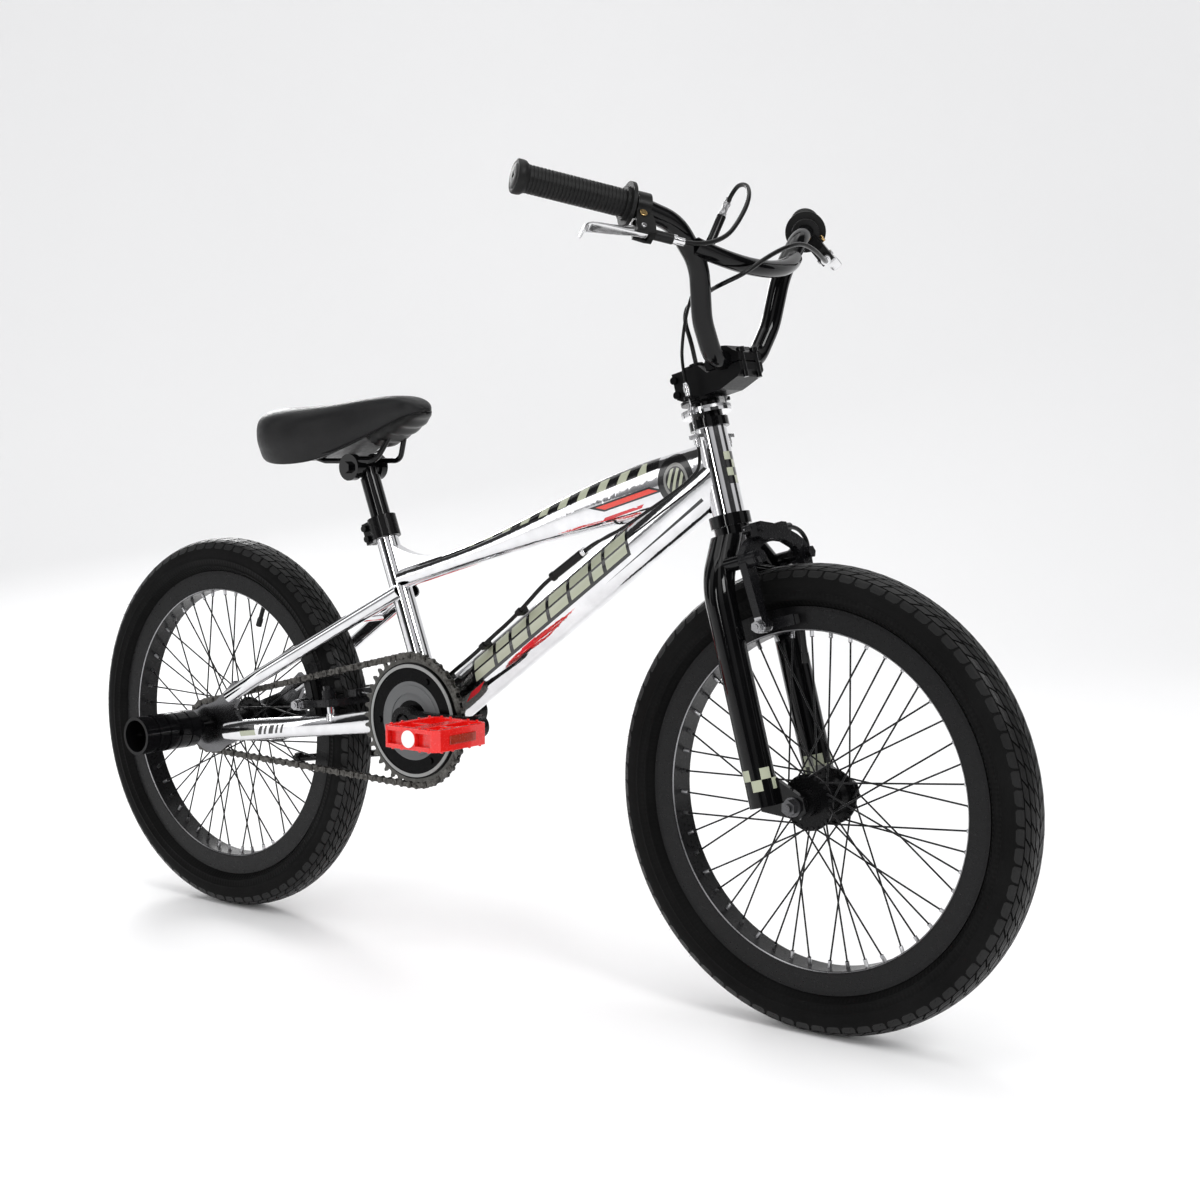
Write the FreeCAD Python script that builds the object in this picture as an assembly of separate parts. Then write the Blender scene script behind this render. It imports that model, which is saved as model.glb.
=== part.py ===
import FreeCAD, Part
import math
import os

from FreeCAD import Matrix
from FreeCAD import Rotation
from FreeCAD import Vector as V

# BMX bike. X points forward, Y to the rider's left, Z up. The origin is on the ground,
# half way between the axles, in the bike's middle plane. Lengths are in millimetres.

# Driving dimensions ---------------------------------------------------------------------
WHEELBASE = 947.0
TYRE_R = 254.0
TYRE_HALF = 27.0
HEAD_LEAN = math.radians(15.0)      # steering axis, from vertical
FORK_OFFSET = 36.7                  # front axle ahead of the steering axis
BB_BACK = 85.0                      # bottom bracket behind the origin
BB_HEIGHT = 295.0
SEAT_LEAN = math.radians(20.5)
CRANK_LENGTH = 130.0
CRANK_TILT = math.radians(3.3)      # right crank arm forward, end slightly up
CHAIN_LINE = -45.0
CHAIN_PITCH = 12.7
RING_TEETH = 40
SPROCKET_TEETH = 16
CHAIN_LINKS = 90
SPOKES = 48
FIT = 0.05                          # radial running clearance
BAR_R = 11.1
CABLE_R = 2.5
TWIN_R = 1.8
WIRE_R = 0.8

REAR_AXLE = V(-WHEELBASE / 2, 0, TYRE_R)
FRONT_AXLE = V(WHEELBASE / 2, 0, TYRE_R)
BB = V(-BB_BACK, 0, BB_HEIGHT)
X_AXIS = V(1, 0, 0)
Y_AXIS = V(0, 1, 0)
Z_AXIS = V(0, 0, 1)
STEER_UP = V(-math.sin(HEAD_LEAN), 0, math.cos(HEAD_LEAN))
STEER_FWD = V(math.cos(HEAD_LEAN), 0, math.sin(HEAD_LEAN))
STEER_FOOT = V(FRONT_AXLE.x - FORK_OFFSET / math.cos(HEAD_LEAN), 0, TYRE_R)
SEAT_UP = V(-math.sin(SEAT_LEAN), 0, math.cos(SEAT_LEAN))
SEAT_FOOT = V(BB.x - 3.5, 0, BB_HEIGHT)
CRANK_DIR = V(math.cos(CRANK_TILT), 0, math.sin(CRANK_TILT))

os.makedirs("parts", exist_ok=True)


# Helpers --------------------------------------------------------------------------------
def at(x, y, z):
    """A point given from the rear axle's foot on the ground, so x runs along the wheelbase."""
    return V(x - WHEELBASE / 2, y, z)


def head(f, y, s):
    """A point ahead of the steering axis by f, to the left by y, up the axis by s."""
    return STEER_FOOT + STEER_FWD * f + Y_AXIS * y + STEER_UP * s


def along_seat(t, back=0.0, y=0.0):
    """A point up the seat tube by t, behind its axis by back."""
    ahead = V(math.cos(SEAT_LEAN), 0, math.sin(SEAT_LEAN))
    return SEAT_FOOT + SEAT_UP * t - ahead * back + Y_AXIS * y


def rod(a, b, r):
    return Part.makeCylinder(r, (b - a).Length, a, b - a)


def ring(a, b, r_out, r_in):
    return rod(a, b, r_out).cut(rod(a, b, r_in))


def cone(a, b, r_a, r_b):
    return Part.makeCone(r_a, r_b, (b - a).Length, a, b - a)


def hexagon(a, b, r):
    """A six-sided prism from a to b, r across half its corners."""
    axis = (b - a).normalize()
    side = axis.cross(X_AXIS if abs(axis.x) < 0.9 else Z_AXIS).normalize()
    other = axis.cross(side)
    corners = []
    for k in range(7):
        t = math.pi / 3 * k
        corners.append(a + side * (r * math.cos(t)) + other * (r * math.sin(t)))
    return Part.Face(Part.makePolygon(corners)).extrude(b - a)


def box(lo, hi):
    return Part.makeBox(hi.x - lo.x, hi.y - lo.y, hi.z - lo.z, lo)


def group(shapes):
    return Part.makeCompound(list(shapes))


def joined(shapes):
    return shapes[0].multiFuse(shapes[1:]).removeSplitter()


def without(shape, tools):
    return shape.cut(Part.makeCompound(tools))


def mirrored(shape):
    return shape.mirror(V(0, 0, 0), Y_AXIS)


def both(shape):
    """A right-hand piece and its left-hand twin."""
    return [shape, mirrored(shape)]


def turned(shape, centre, axis, degrees):
    copy = shape.copy()
    copy.rotate(centre, axis, degrees)
    return copy


def rounded_path(points, radii):
    """Straight runs joined by tangent arcs, one radius for each inner point."""
    edges = []
    start = points[0]
    for i in range(1, len(points) - 1):
        back = (points[i - 1] - points[i]).normalize()
        on = (points[i + 1] - points[i]).normalize()
        turn = math.pi - back.getAngle(on)
        radius = radii[i - 1]
        reach = radius * math.tan(turn / 2)
        bend_in = points[i] + back * reach
        bend_out = points[i] + on * reach
        middle = points[i] + (back + on).normalize() * (math.hypot(radius, reach) - radius)
        edges.append(Part.LineSegment(start, bend_in).toShape())
        edges.append(Part.Arc(bend_in, middle, bend_out).toShape())
        start = bend_out
    edges.append(Part.LineSegment(start, points[-1]).toShape())
    return Part.Wire(edges)


def pipe(path, points, r):
    circle = Part.Circle(points[0], points[1] - points[0], r).toShape()
    return path.makePipe(Part.Face(Part.Wire(circle)))


def bent_rod(points, radii, r):
    return pipe(rounded_path(points, radii), points, r)


def cord_radii(points):
    """The largest arc that each point's two runs allow."""
    radii = []
    for i in range(1, len(points) - 1):
        back = points[i - 1] - points[i]
        on = points[i + 1] - points[i]
        turn = math.pi - back.getAngle(on)
        radii.append(0.45 * min(back.Length, on.Length) / math.tan(turn / 2))
    return radii


def cord(name, points, r):
    """A cable's tube; prints its bends and compares its volume with section times length."""
    radii = cord_radii(points)
    path = rounded_path(points, radii)
    tube = pipe(path, points, r)
    expected = math.pi * r * r * path.Length
    print(name, "length", round(path.Length), "radii", [round(x) for x in radii],
          "volume ratio", round(tube.Volume / expected, 4))
    return tube


def oval(centre, across, upward, half_across, half_up):
    """A closed ellipse wire around centre, in the plane of two unit directions."""
    if half_across >= half_up:
        major, minor, a, b = across, upward, half_across, half_up
    else:
        major, minor, a, b = upward, across, half_up, half_across
    ellipse = Part.Ellipse(centre + major * a, centre + minor * b, centre)
    return Part.Wire(ellipse.toShape())


def save(node, shape):
    solids = shape.Solids
    if not solids or not shape.isValid():
        raise RuntimeError(node + " is not a valid solid")
    result = solids[0] if len(solids) == 1 else Part.makeCompound(solids)
    result.exportStep("parts/" + node + ".step")
    print(node, len(solids), "solids", round(shape.Volume / 1000, 1), "cm3")


# Frame ----------------------------------------------------------------------------------
HEAD_LOW = 313.0                    # head tube, up the steering axis
HEAD_HIGH = 411.0
HEAD_R = 18.0
HEAD_BORE = 15.6
SHELL_R = 21.0
SHELL_BORE = 17.0
SHELL_HALF = 35.0
SEAT_TUBE_R = 14.3
SEAT_TUBE_TOP = 262.0
SEAT_POST_R = 12.7
DOWN_HALF_DEEP = 28.0
DOWN_HALF_WIDE = 19.0
DOWN_SLOPE = math.radians(35.4)
WALL = 1.6
STAY_R = 9.5
STAY_END_Y = 62.0
PLATE_IN = 55.0                     # rear dropout plates, from the middle plane
PLATE_OUT = 61.0
REAR_AXLE_R = 7.0
POST_R = 5.0
REAR_POST_FOOT = 247.0              # rear brake posts, ahead of the rear axle
REAR_POST_Y = 49.0
REAR_POST_UP = V(-0.12, 0, 0.993).normalize()
REAR_POST_LENGTH = 40.0
CABLE_STOP = at(333, -5.5, 312)     # rear cable housing ends here
CABLE_STOP_DIR = V(0.968, -0.25, 0).normalize()
SPINDLE_R = 9.5
PEG_R = 25.0
PEG_IN = 76.0                       # pegs, from the middle plane
PEG_OUT = 166.0


def head_cutter(extra=0.0):
    return rod(head(0, 0, HEAD_LOW - 30), head(0, 0, HEAD_HIGH + 30), HEAD_R + extra)


def seat_cutter():
    return rod(along_seat(-40), along_seat(SEAT_TUBE_TOP + 40), SEAT_TUBE_R)


def shell_cutter():
    return rod(BB - Y_AXIS * 60, BB + Y_AXIS * 60, SHELL_R)


def head_tube():
    tube = ring(head(0, 0, HEAD_LOW), head(0, 0, HEAD_HIGH), HEAD_R, HEAD_BORE)
    return tube


def down_profile(centre, inset):
    upward = V(-math.sin(DOWN_SLOPE), 0, math.cos(DOWN_SLOPE))
    return oval(centre, Y_AXIS, upward, DOWN_HALF_WIDE - inset, DOWN_HALF_DEEP - inset)


def down_solid(inset):
    direction = V(math.cos(DOWN_SLOPE), 0, math.sin(DOWN_SLOPE))
    face = Part.Face(down_profile(BB, inset))
    return face.extrude(direction * 540)


def down_tube():
    tube = down_solid(0).cut(down_solid(WALL))
    tube = without(tube, [head_cutter(), shell_cutter(), seat_cutter()])
    tube = tube.cut(box_along_steering(100, -60, 60, 200, 500, 100))
    return max(tube.Solids, key=lambda s: s.Volume)


def top_sections(inset):
    """Upright sections: place along the wheelbase, height of centre, half width, half depth."""
    sections = [
        (300, 456.0, 12.5, 12.5),
        (420, 491.0, 13.0, 13.5),
        (533, 527.5, 13.5, 18.5),
        (635, 560.5, 14.5, 27.5),
        (720, 583.0, 15.5, 32.5),
        (835, 613.0, 16.5, 34.0),
    ]
    wires = []
    for x, z, wide, deep in sections:
        wires.append(oval(at(x, 0, z), Y_AXIS, Z_AXIS, wide - inset, deep - inset))
    return Part.makeLoft(wires, True, False)


def top_tube():
    tube = top_sections(0).cut(top_sections(WALL))
    tube = without(tube, [head_cutter(), seat_cutter(), down_solid(0)])
    tube = max(tube.Solids, key=lambda s: s.Volume)
    return tube


def seat_gusset():
    """A curved web in the angle between seat tube and top tube."""
    points = [at(322, 0, 466), at(311, 0, 512), at(338, 0, 501), at(401, 0, 499), at(418, 0, 486)]
    curve = Part.Arc(points[1], points[2], points[3]).toShape()
    sides = [
        Part.LineSegment(points[3], points[4]).toShape(),
        Part.LineSegment(points[4], points[0]).toShape(),
        Part.LineSegment(points[0], points[1]).toShape(),
    ]
    half = 7.0
    web = Part.Face(Part.Wire([curve] + sides)).extrude(Y_AXIS * (2 * half))
    web.translate(Y_AXIS * -half)
    web = without(web, [seat_cutter(), top_sections(0)])
    return max(web.Solids, key=lambda s: s.Volume)


def seat_tube():
    tube = ring(along_seat(-30), along_seat(SEAT_TUBE_TOP), SEAT_TUBE_R, SEAT_POST_R + FIT)
    return max(tube.cut(shell_cutter()).Solids, key=lambda s: s.BoundBox.ZMax)


def bb_shell():
    return ring(BB - Y_AXIS * SHELL_HALF, BB + Y_AXIS * SHELL_HALF, SHELL_R, SHELL_BORE)


def chain_stay(solid=False):
    path = [
        (58, -STAY_END_Y, 253.5, 7.5, 11.5),
        (80, -STAY_END_Y, 256.0, 8.5, 13.5),
        (150, -58.0, 265.0, 9.0, 14.0),
        (235, -49.5, 275.5, 9.0, 14.0),
        (300, -33.5, 284.0, 6.0, 14.5),
        (372, -23.0, 293.0, 7.0, 13.0),
    ]
    wires = [oval(at(x, y, z), Y_AXIS, Z_AXIS, wide, deep) for x, y, z, wide, deep in path]
    tube = Part.makeLoft(wires, True, False)
    if solid:
        return tube
    hollow = [
        oval(at(x, y, z), Y_AXIS, Z_AXIS, wide - WALL, deep - WALL) for x, y, z, wide, deep in path
    ]
    return tube.cut(Part.makeLoft(hollow, True, False))


def rear_post(side):
    """One rear brake post, standing on a chain stay."""
    foot = at(REAR_POST_FOOT, side * REAR_POST_Y, 283)
    return joined([
        cone(foot, foot + REAR_POST_UP * 9, POST_R + 2.5, POST_R + 0.5),
        rod(foot + REAR_POST_UP * 9, foot + REAR_POST_UP * REAR_POST_LENGTH, POST_R),
    ])


def chain_stays(plates):
    stay = joined([chain_stay(), rear_post(-1)])
    solids = []
    for side in both(stay):
        solids.append(max(without(side, [shell_cutter()] + plates).Solids, key=lambda s: s.Volume))
    bridge = rod(at(335, -45, 291), at(335, 45, 291), 7.0)
    bridge = without(bridge, both(chain_stay(solid=True)))
    bridge = min(bridge.Solids, key=lambda s: abs(s.CenterOfMass.y))
    post = rod(CABLE_STOP - Z_AXIS * 20, CABLE_STOP, 3.0)
    barrel = rod(CABLE_STOP - CABLE_STOP_DIR * 8, CABLE_STOP + CABLE_STOP_DIR * 5, 4.5)
    stop = joined([bridge, post, barrel])
    stop = stop.cut(rod(CABLE_STOP - CABLE_STOP_DIR * 9, CABLE_STOP + CABLE_STOP_DIR * 9, 1.1))
    stop = stop.cut(rod(CABLE_STOP, CABLE_STOP + CABLE_STOP_DIR * 9, CABLE_R))
    solids.append(stop)
    return group(solids)


def seat_stay(r):
    """Clear of the chain at the back, then straight up to the seat tube."""
    return bent_rod([at(66, -STAY_END_Y, 301), at(122, -60.5, 331), at(334, -13, 450)], [150.0], r)


def seat_stays(plates):
    stay = seat_stay(STAY_R).cut(seat_stay(STAY_R - WALL))
    middle = at(270, -27, 414)
    bridge = rod(V(middle.x, -45, middle.z), V(middle.x, 45, middle.z), 6.5)
    solids = []
    for side in both(stay):
        cut = without(side, [seat_cutter(), top_sections(0)] + plates)
        solids.append(max(cut.Solids, key=lambda s: s.Volume))
    bridge = without(bridge, both(seat_stay(STAY_R)))
    solids.append(min(bridge.Solids, key=lambda s: abs(s.CenterOfMass.y)))
    return group(solids)


def dropout_plate(side):
    inner = PLATE_IN
    slot_r = REAR_AXLE_R + 0.1
    curve = Part.Arc(at(-10, 0, 236), at(26, 0, 222), at(58, 0, 234)).toShape()
    corners = [at(58, 0, 234), at(88, 0, 246), at(88, 0, 266), at(72, 0, 284), at(88, 0, 312),
               at(74, 0, 322), at(36, 0, 292), at(-18, 0, 272), at(-22, 0, 250), at(-10, 0, 236)]
    edges = [curve]
    for a, b in zip(corners, corners[1:]):
        edges.append(Part.LineSegment(a, b).toShape())
    plate = Part.Face(Part.Wire(edges)).extrude(Y_AXIS * (PLATE_OUT - PLATE_IN))
    plate.translate(Y_AXIS * inner)
    slot = joined([
        rod(at(0, 40, TYRE_R), at(0, 80, TYRE_R), slot_r),
        box(at(-30, 40, TYRE_R - slot_r), at(0, 80, TYRE_R + slot_r)),
    ])
    plate = plate.cut(slot)
    return plate if side > 0 else mirrored(plate)


def seat_collar():
    low, high = along_seat(236), along_seat(264)
    band = ring(low, high, SEAT_TUBE_R + 4.2, SEAT_TUBE_R + 0.05)
    ears = box(V(0, -8.5, 0), V(15, 8.5, 28))
    ears.rotate(V(0, 0, 0), Y_AXIS, -math.degrees(SEAT_LEAN))
    ears.translate(along_seat(236, SEAT_TUBE_R + 15.0))
    ears = ears.cut(rod(low - SEAT_UP, high + SEAT_UP, SEAT_TUBE_R + 0.05))
    body = joined([band, ears])
    gap = box(V(0, -1.2, -2), V(20, 1.2, 32))
    gap.rotate(V(0, 0, 0), Y_AXIS, -math.degrees(SEAT_LEAN))
    gap.translate(along_seat(236, SEAT_TUBE_R + 17.0))
    body = body.cut(gap)
    body = body.cut(rod(along_seat(SEAT_TUBE_TOP - 0.01), along_seat(SEAT_TUBE_TOP + 8), SEAT_POST_R + 0.4))
    bolts = []
    for t in (243.0, 257.0):
        shank = rod(along_seat(t, SEAT_TUBE_R + 9.5, -12), along_seat(t, SEAT_TUBE_R + 9.5, 12), 2.5)
        heads = rod(along_seat(t, SEAT_TUBE_R + 9.5, -13), along_seat(t, SEAT_TUBE_R + 9.5, -8.5), 4.2)
        nut = hexagon(along_seat(t, SEAT_TUBE_R + 9.5, 8.5), along_seat(t, SEAT_TUBE_R + 9.5, 13), 4.6)
        bolts.append(joined([shank, heads, nut]))
        back = SEAT_TUBE_R + 9.5
        body = body.cut(rod(along_seat(t, back, -12), along_seat(t, back, 12), 2.5))
    return group(body.Solids + bolts)


def headset_cups():
    """Both pressed cups, each with the seat of its bearing."""
    lower = joined([
        ring(head(0, 0, HEAD_LOW), head(0, 0, HEAD_LOW + 8), HEAD_BORE, 14.6),
        ring(head(0, 0, HEAD_LOW - 7), head(0, 0, HEAD_LOW), 23.0, 14.6),
        ring(head(0, 0, HEAD_LOW - 13), head(0, 0, HEAD_LOW - 7), 23.0, 20.6),
    ])
    upper = joined([
        ring(head(0, 0, HEAD_HIGH - 8), head(0, 0, HEAD_HIGH), HEAD_BORE, 14.6),
        ring(head(0, 0, HEAD_HIGH), head(0, 0, HEAD_HIGH + 4), 22.0, 14.6),
        ring(head(0, 0, HEAD_HIGH + 4), head(0, 0, HEAD_HIGH + 10), 22.0, 19.6),
    ])
    return group([lower, upper])


def bb_cups():
    """Two threaded cups with their bearing rings."""
    solids = []
    for side in (-1, 1):
        inner = BB + Y_AXIS * (side * 20)
        face = BB + Y_AXIS * (side * SHELL_HALF)
        outer = BB + Y_AXIS * (side * 38.5)
        solids.append(joined([ring(inner, face, SHELL_BORE, 14.5), ring(face, outer, 20.0, 14.5)]))
        solids.append(ring(BB + Y_AXIS * (side * 24), BB + Y_AXIS * (side * 32), 14.5, SPINDLE_R + FIT))
    return group(solids)


def rear_axle():
    """The rear axle with its cones, spacers and nuts."""
    centre = REAR_AXLE
    shaft = rod(centre - Y_AXIS * 98, centre + Y_AXIS * 98, REAR_AXLE_R)
    solids = [shaft]
    for side, cone_in in ((-1, 42.5), (1, 42.0)):
        solids.append(ring(centre + Y_AXIS * (side * cone_in), centre + Y_AXIS * (side * PLATE_IN), 9.3,
                           REAR_AXLE_R))
        nut = hexagon(centre + Y_AXIS * (side * (PEG_IN + 8)), centre + Y_AXIS * (side * (PEG_IN + 20)), 12)
        solids.append(nut.cut(shaft))
    return group(solids)


def rear_peg():
    """A foot peg: neck, end wall and a grooved open tube."""
    centre = REAR_AXLE
    start = centre - Y_AXIS * PLATE_OUT
    wall = centre - Y_AXIS * PEG_IN
    wall_end = centre - Y_AXIS * (PEG_IN + 8)
    end = centre - Y_AXIS * PEG_OUT
    neck = cone(start, wall, 12.5, 16.0)
    body = joined([neck, rod(wall, wall_end, PEG_R), ring(wall_end, end, PEG_R, PEG_R - 4)])
    body = body.cut(rod(centre - Y_AXIS * 50, end, REAR_AXLE_R + 0.02))
    for k in range(4):
        y = PEG_IN + 14 + 18 * k
        groove = ring(centre - Y_AXIS * y, centre - Y_AXIS * (y + 2.5), PEG_R + 2, PEG_R - 1.2)
        body = body.cut(groove)
    hole = rod(centre - Y_AXIS * 110 + X_AXIS * 5, centre - Y_AXIS * 110 + X_AXIS * 40, 4)
    return body.cut(hole)


# Kickstand ------------------------------------------------------------------------------
STAND_R = 5.0
STAND_PIVOT = at(335, 34, 243)
STAND_TIP = at(60, 62, 200)
STAND_LENGTH = (STAND_TIP - STAND_PIVOT).Length
STAND_DOWN = STAND_PIVOT + V(0.30, 0.42, -0.857).normalize() * STAND_LENGTH


def stand_axis():
    """The hinge direction that swings the folded tip to the lowered tip."""
    change = ((STAND_DOWN - STAND_PIVOT) - (STAND_TIP - STAND_PIVOT)).normalize()
    return (Y_AXIS - change * Y_AXIS.dot(change)).normalize()


def kickstand_bracket():
    """A clamp plate under both chain stays, a hanger and the hinge pin."""
    axis = stand_axis()
    plate = box(at(318, -40, 262), at(350, 40, 277))
    plate = without(plate, both(chain_stay(solid=True)))
    plate = plate.cut(box(at(300, -60, 276), at(360, -22, 280)))
    plate = max(plate.Solids, key=lambda s: s.Volume)
    hanger = box(at(324, 8, 236), at(346, 26, 262))
    pin = rod(STAND_PIVOT - axis * 12, STAND_PIVOT + axis * 9, 4.0)
    foot = joined([plate, hanger, pin])
    bolt = joined([
        rod(at(334, 0, 252), at(334, 0, 268.5), 4.0),
        hexagon(at(334, 0, 256), at(334, 0, 261.9), 7.0),
    ])
    foot = foot.cut(bolt)
    return group([max(foot.Solids, key=lambda s: s.Volume), bolt])


def kickstand_leg():
    """The leg with its hinge eye and round rubber foot."""
    axis = stand_axis()
    eye = rod(STAND_PIVOT - axis * 6, STAND_PIVOT + axis * 6, 9.5)
    end_dir = (STAND_TIP - STAND_PIVOT).normalize()
    leg = rod(STAND_PIVOT + end_dir * 6, STAND_TIP - end_dir * 12, STAND_R)
    body = joined([eye, leg]).cut(rod(STAND_PIVOT - axis * 20, STAND_PIVOT + axis * 20, 4.0 + FIT))
    foot_turn = axis.cross(end_dir).normalize()
    foot = rod(STAND_TIP - end_dir * 12, STAND_TIP, STAND_R + 1.5)
    pad = rod(STAND_TIP - end_dir * 7 + foot_turn * 8, STAND_TIP - end_dir * 7 - foot_turn * 8, 6.0)
    end = joined([foot, pad])
    return group([body.cut(end), end])


# Fork -----------------------------------------------------------------------------------
STEERER_R = 14.3
STEERER_BORE = 12.3
STEERER_LOW = 272.0
STEERER_TOP = 478.0
LEG_R = 17.0
LEG_Y = 58.0
LEG_F = 5.0
LEG_FOOT = -4.0
LEG_BEND = 238.0
FRONT_AXLE_R = 4.75
FORK_PLATE_IN = 50.0
FORK_PLATE_OUT = 56.0
AXLE_F = FORK_OFFSET
AXLE_S = -(STEER_FOOT - FRONT_AXLE).dot(STEER_UP)
PIVOT_S = 255.0                     # front brake posts
PIVOT_Y = 49.0
PIVOT_F = 47.0


def leg_path():
    points = [head(LEG_F, -LEG_Y, LEG_FOOT), head(LEG_F, -LEG_Y, LEG_BEND), head(0, -8, 296)]
    return points


def fork_leg():
    """One leg: a straight blade bent over to the steerer, with its post and wheel plate."""
    points = leg_path()
    outer = bent_rod(points, [62.0], LEG_R)
    inner = bent_rod(points, [62.0], LEG_R - 2.0)
    tube = outer.cut(inner)
    bung = rod(head(LEG_F, -LEG_Y, LEG_FOOT), head(LEG_F, -LEG_Y, LEG_FOOT + 3), LEG_R - 2.0)
    post = rod(head(LEG_F + LEG_R - 4, -PIVOT_Y, PIVOT_S), head(PIVOT_F + 11.5, -PIVOT_Y, PIVOT_S), POST_R)
    collar_end = head(PIVOT_F - 11, -PIVOT_Y, PIVOT_S)
    collar = rod(head(LEG_F + LEG_R - 5, -PIVOT_Y, PIVOT_S), collar_end, POST_R + 3)
    post = joined([post, collar])
    post = post.cut(inner)
    tube = joined([tube, bung])
    middle = box(V(-600, 0.05, 0), V(900, 200, 1000))
    steerer = rod(head(0, 0, STEERER_LOW), head(0, 0, 500), STEERER_R)
    body = joined([tube, max(post.Solids, key=lambda s: s.Volume)])
    body = without(body, [steerer, middle, fork_plate()])
    crown_top = rod(head(0, 0, 290), head(0, 0, 400), 60)
    body = body.cut(crown_top)
    return max(body.Solids, key=lambda s: s.Volume)


def fork_plate():
    """A plate from the foot of the leg forward to the axle."""
    y = -FORK_PLATE_OUT
    outline = [
        head(LEG_F - 12, y, LEG_FOOT + 34), head(LEG_F + 10, y, LEG_FOOT + 34),
        head(AXLE_F + 4, y, AXLE_S + 17), head(AXLE_F + 15, y, AXLE_S + 7),
        head(AXLE_F + 15, y, AXLE_S - 8), head(AXLE_F + 4, y, AXLE_S - 15),
        head(LEG_F - 8, y, LEG_FOOT - 5), head(LEG_F - 12, y, LEG_FOOT + 34),
    ]
    plate = Part.Face(Part.makePolygon(outline)).extrude(Y_AXIS * (FORK_PLATE_OUT - FORK_PLATE_IN))
    hole = rod(FRONT_AXLE - Y_AXIS * 90, FRONT_AXLE + Y_AXIS * 90, FRONT_AXLE_R + 0.05)
    slot = box(V(-(FRONT_AXLE_R + 0.05), -90, -30), V(FRONT_AXLE_R + 0.05, 90, 0))
    slot.rotate(V(0, 0, 0), Y_AXIS, -math.degrees(HEAD_LEAN))
    slot.translate(FRONT_AXLE)
    return plate.cut(joined([hole, slot]))


def fork_legs():
    return group(both(fork_leg()))


def fork_dropouts():
    return group(both(fork_plate()))


def fork_steerer():
    return ring(head(0, 0, STEERER_LOW), head(0, 0, STEERER_TOP), STEERER_R, STEERER_BORE)


def headset_bearings():
    """Crown race, the two bearing rings and the sleeve that the detangler slides on."""
    race = ring(head(0, 0, 290.05), head(0, 0, 299.5), 20.0, STEERER_R)
    low = ring(head(0, 0, HEAD_LOW - 13), head(0, 0, HEAD_LOW - 7.1), 20.5, STEERER_R)
    high = ring(head(0, 0, HEAD_HIGH + 4.1), head(0, 0, HEAD_HIGH + 9.5), 19.5, STEERER_R)
    sleeve = ring(head(0, 0, HEAD_HIGH + 9.5), head(0, 0, GYRO_PLATE), 17.0, STEERER_R)
    return group([race, low, high, sleeve])


def front_axle():
    """The front axle with its cones, washers and nuts."""
    centre = FRONT_AXLE
    shaft = rod(centre - Y_AXIS * 69, centre + Y_AXIS * 69, FRONT_AXLE_R)
    solids = [shaft]
    for side in (-1, 1):
        out = Y_AXIS * side
        inner = centre + out * FORK_PLATE_IN
        outer = centre + out * FORK_PLATE_OUT
        solids.append(ring(centre + out * 37.5, inner, 7.6, FRONT_AXLE_R))
        solids.append(ring(outer, outer + out * 1.6, 10.5, FRONT_AXLE_R))
        nut = hexagon(outer + out * 1.6, outer + out * 9.5, 8.6)
        solids.append(nut.cut(shaft))
    return group(solids)


# Detangler ------------------------------------------------------------------------------
GYRO_PLATE = 441.0                  # underside of the fixed plate, up the steering axis
GYRO_SPLIT = 430.0                  # where the turning ring meets the still ring
GYRO_R = 28.0
UPPER_STOP_Y = 35.0
UPPER_STOP_F = 5.0
LOWER_STOP_Y = 30.0
LOWER_STOP_TOP = 405.0


def adjuster(start, direction, bore=TWIN_R, size=4.0):
    """A barrel adjuster: a threaded neck, a knurled barrel and a thin sleeve."""
    end = start + direction * 15
    body = joined([
        rod(start, start + direction * 5, size * 0.75),
        rod(start + direction * 5, start + direction * 11, size),
        rod(start + direction * 11, end, size * 0.8),
    ])
    return body.cut(rod(start - direction, end + direction, WIRE_R + 0.2)).cut(
        rod(start + direction * 8, end + direction, bore))


def gyro_upper_plate():
    disc = rod(head(0, 0, GYRO_PLATE), head(0, 0, GYRO_PLATE + 3.5), 26.0)
    solids = [disc]
    for side in (-1, 1):
        lug = joined([
            rod(head(UPPER_STOP_F, side * UPPER_STOP_Y, GYRO_PLATE + 2),
                head(UPPER_STOP_F, side * UPPER_STOP_Y, GYRO_PLATE + 5), 5.5),
        ])
        arm = box(V(-4, min(0, side * UPPER_STOP_Y), 0), V(8, max(0, side * UPPER_STOP_Y), 3))
        arm.rotate(V(0, 0, 0), Y_AXIS, -math.degrees(HEAD_LEAN))
        arm.translate(head(UPPER_STOP_F - 2, 0, GYRO_PLATE + 0.5))
        solids += [lug, arm]
    plate = joined(solids)
    tools = [rod(head(0, 0, 430), head(0, 0, 460), STEERER_R)]
    for side in (-1, 1):
        tools.append(rod(head(UPPER_STOP_F, side * UPPER_STOP_Y, 430),
                         head(UPPER_STOP_F, side * UPPER_STOP_Y, 460), WIRE_R + 0.3))
    return without(plate, tools)


def gyro_ring(low, high, bore):
    return ring(head(0, 0, low), head(0, 0, high), GYRO_R, bore)


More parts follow.
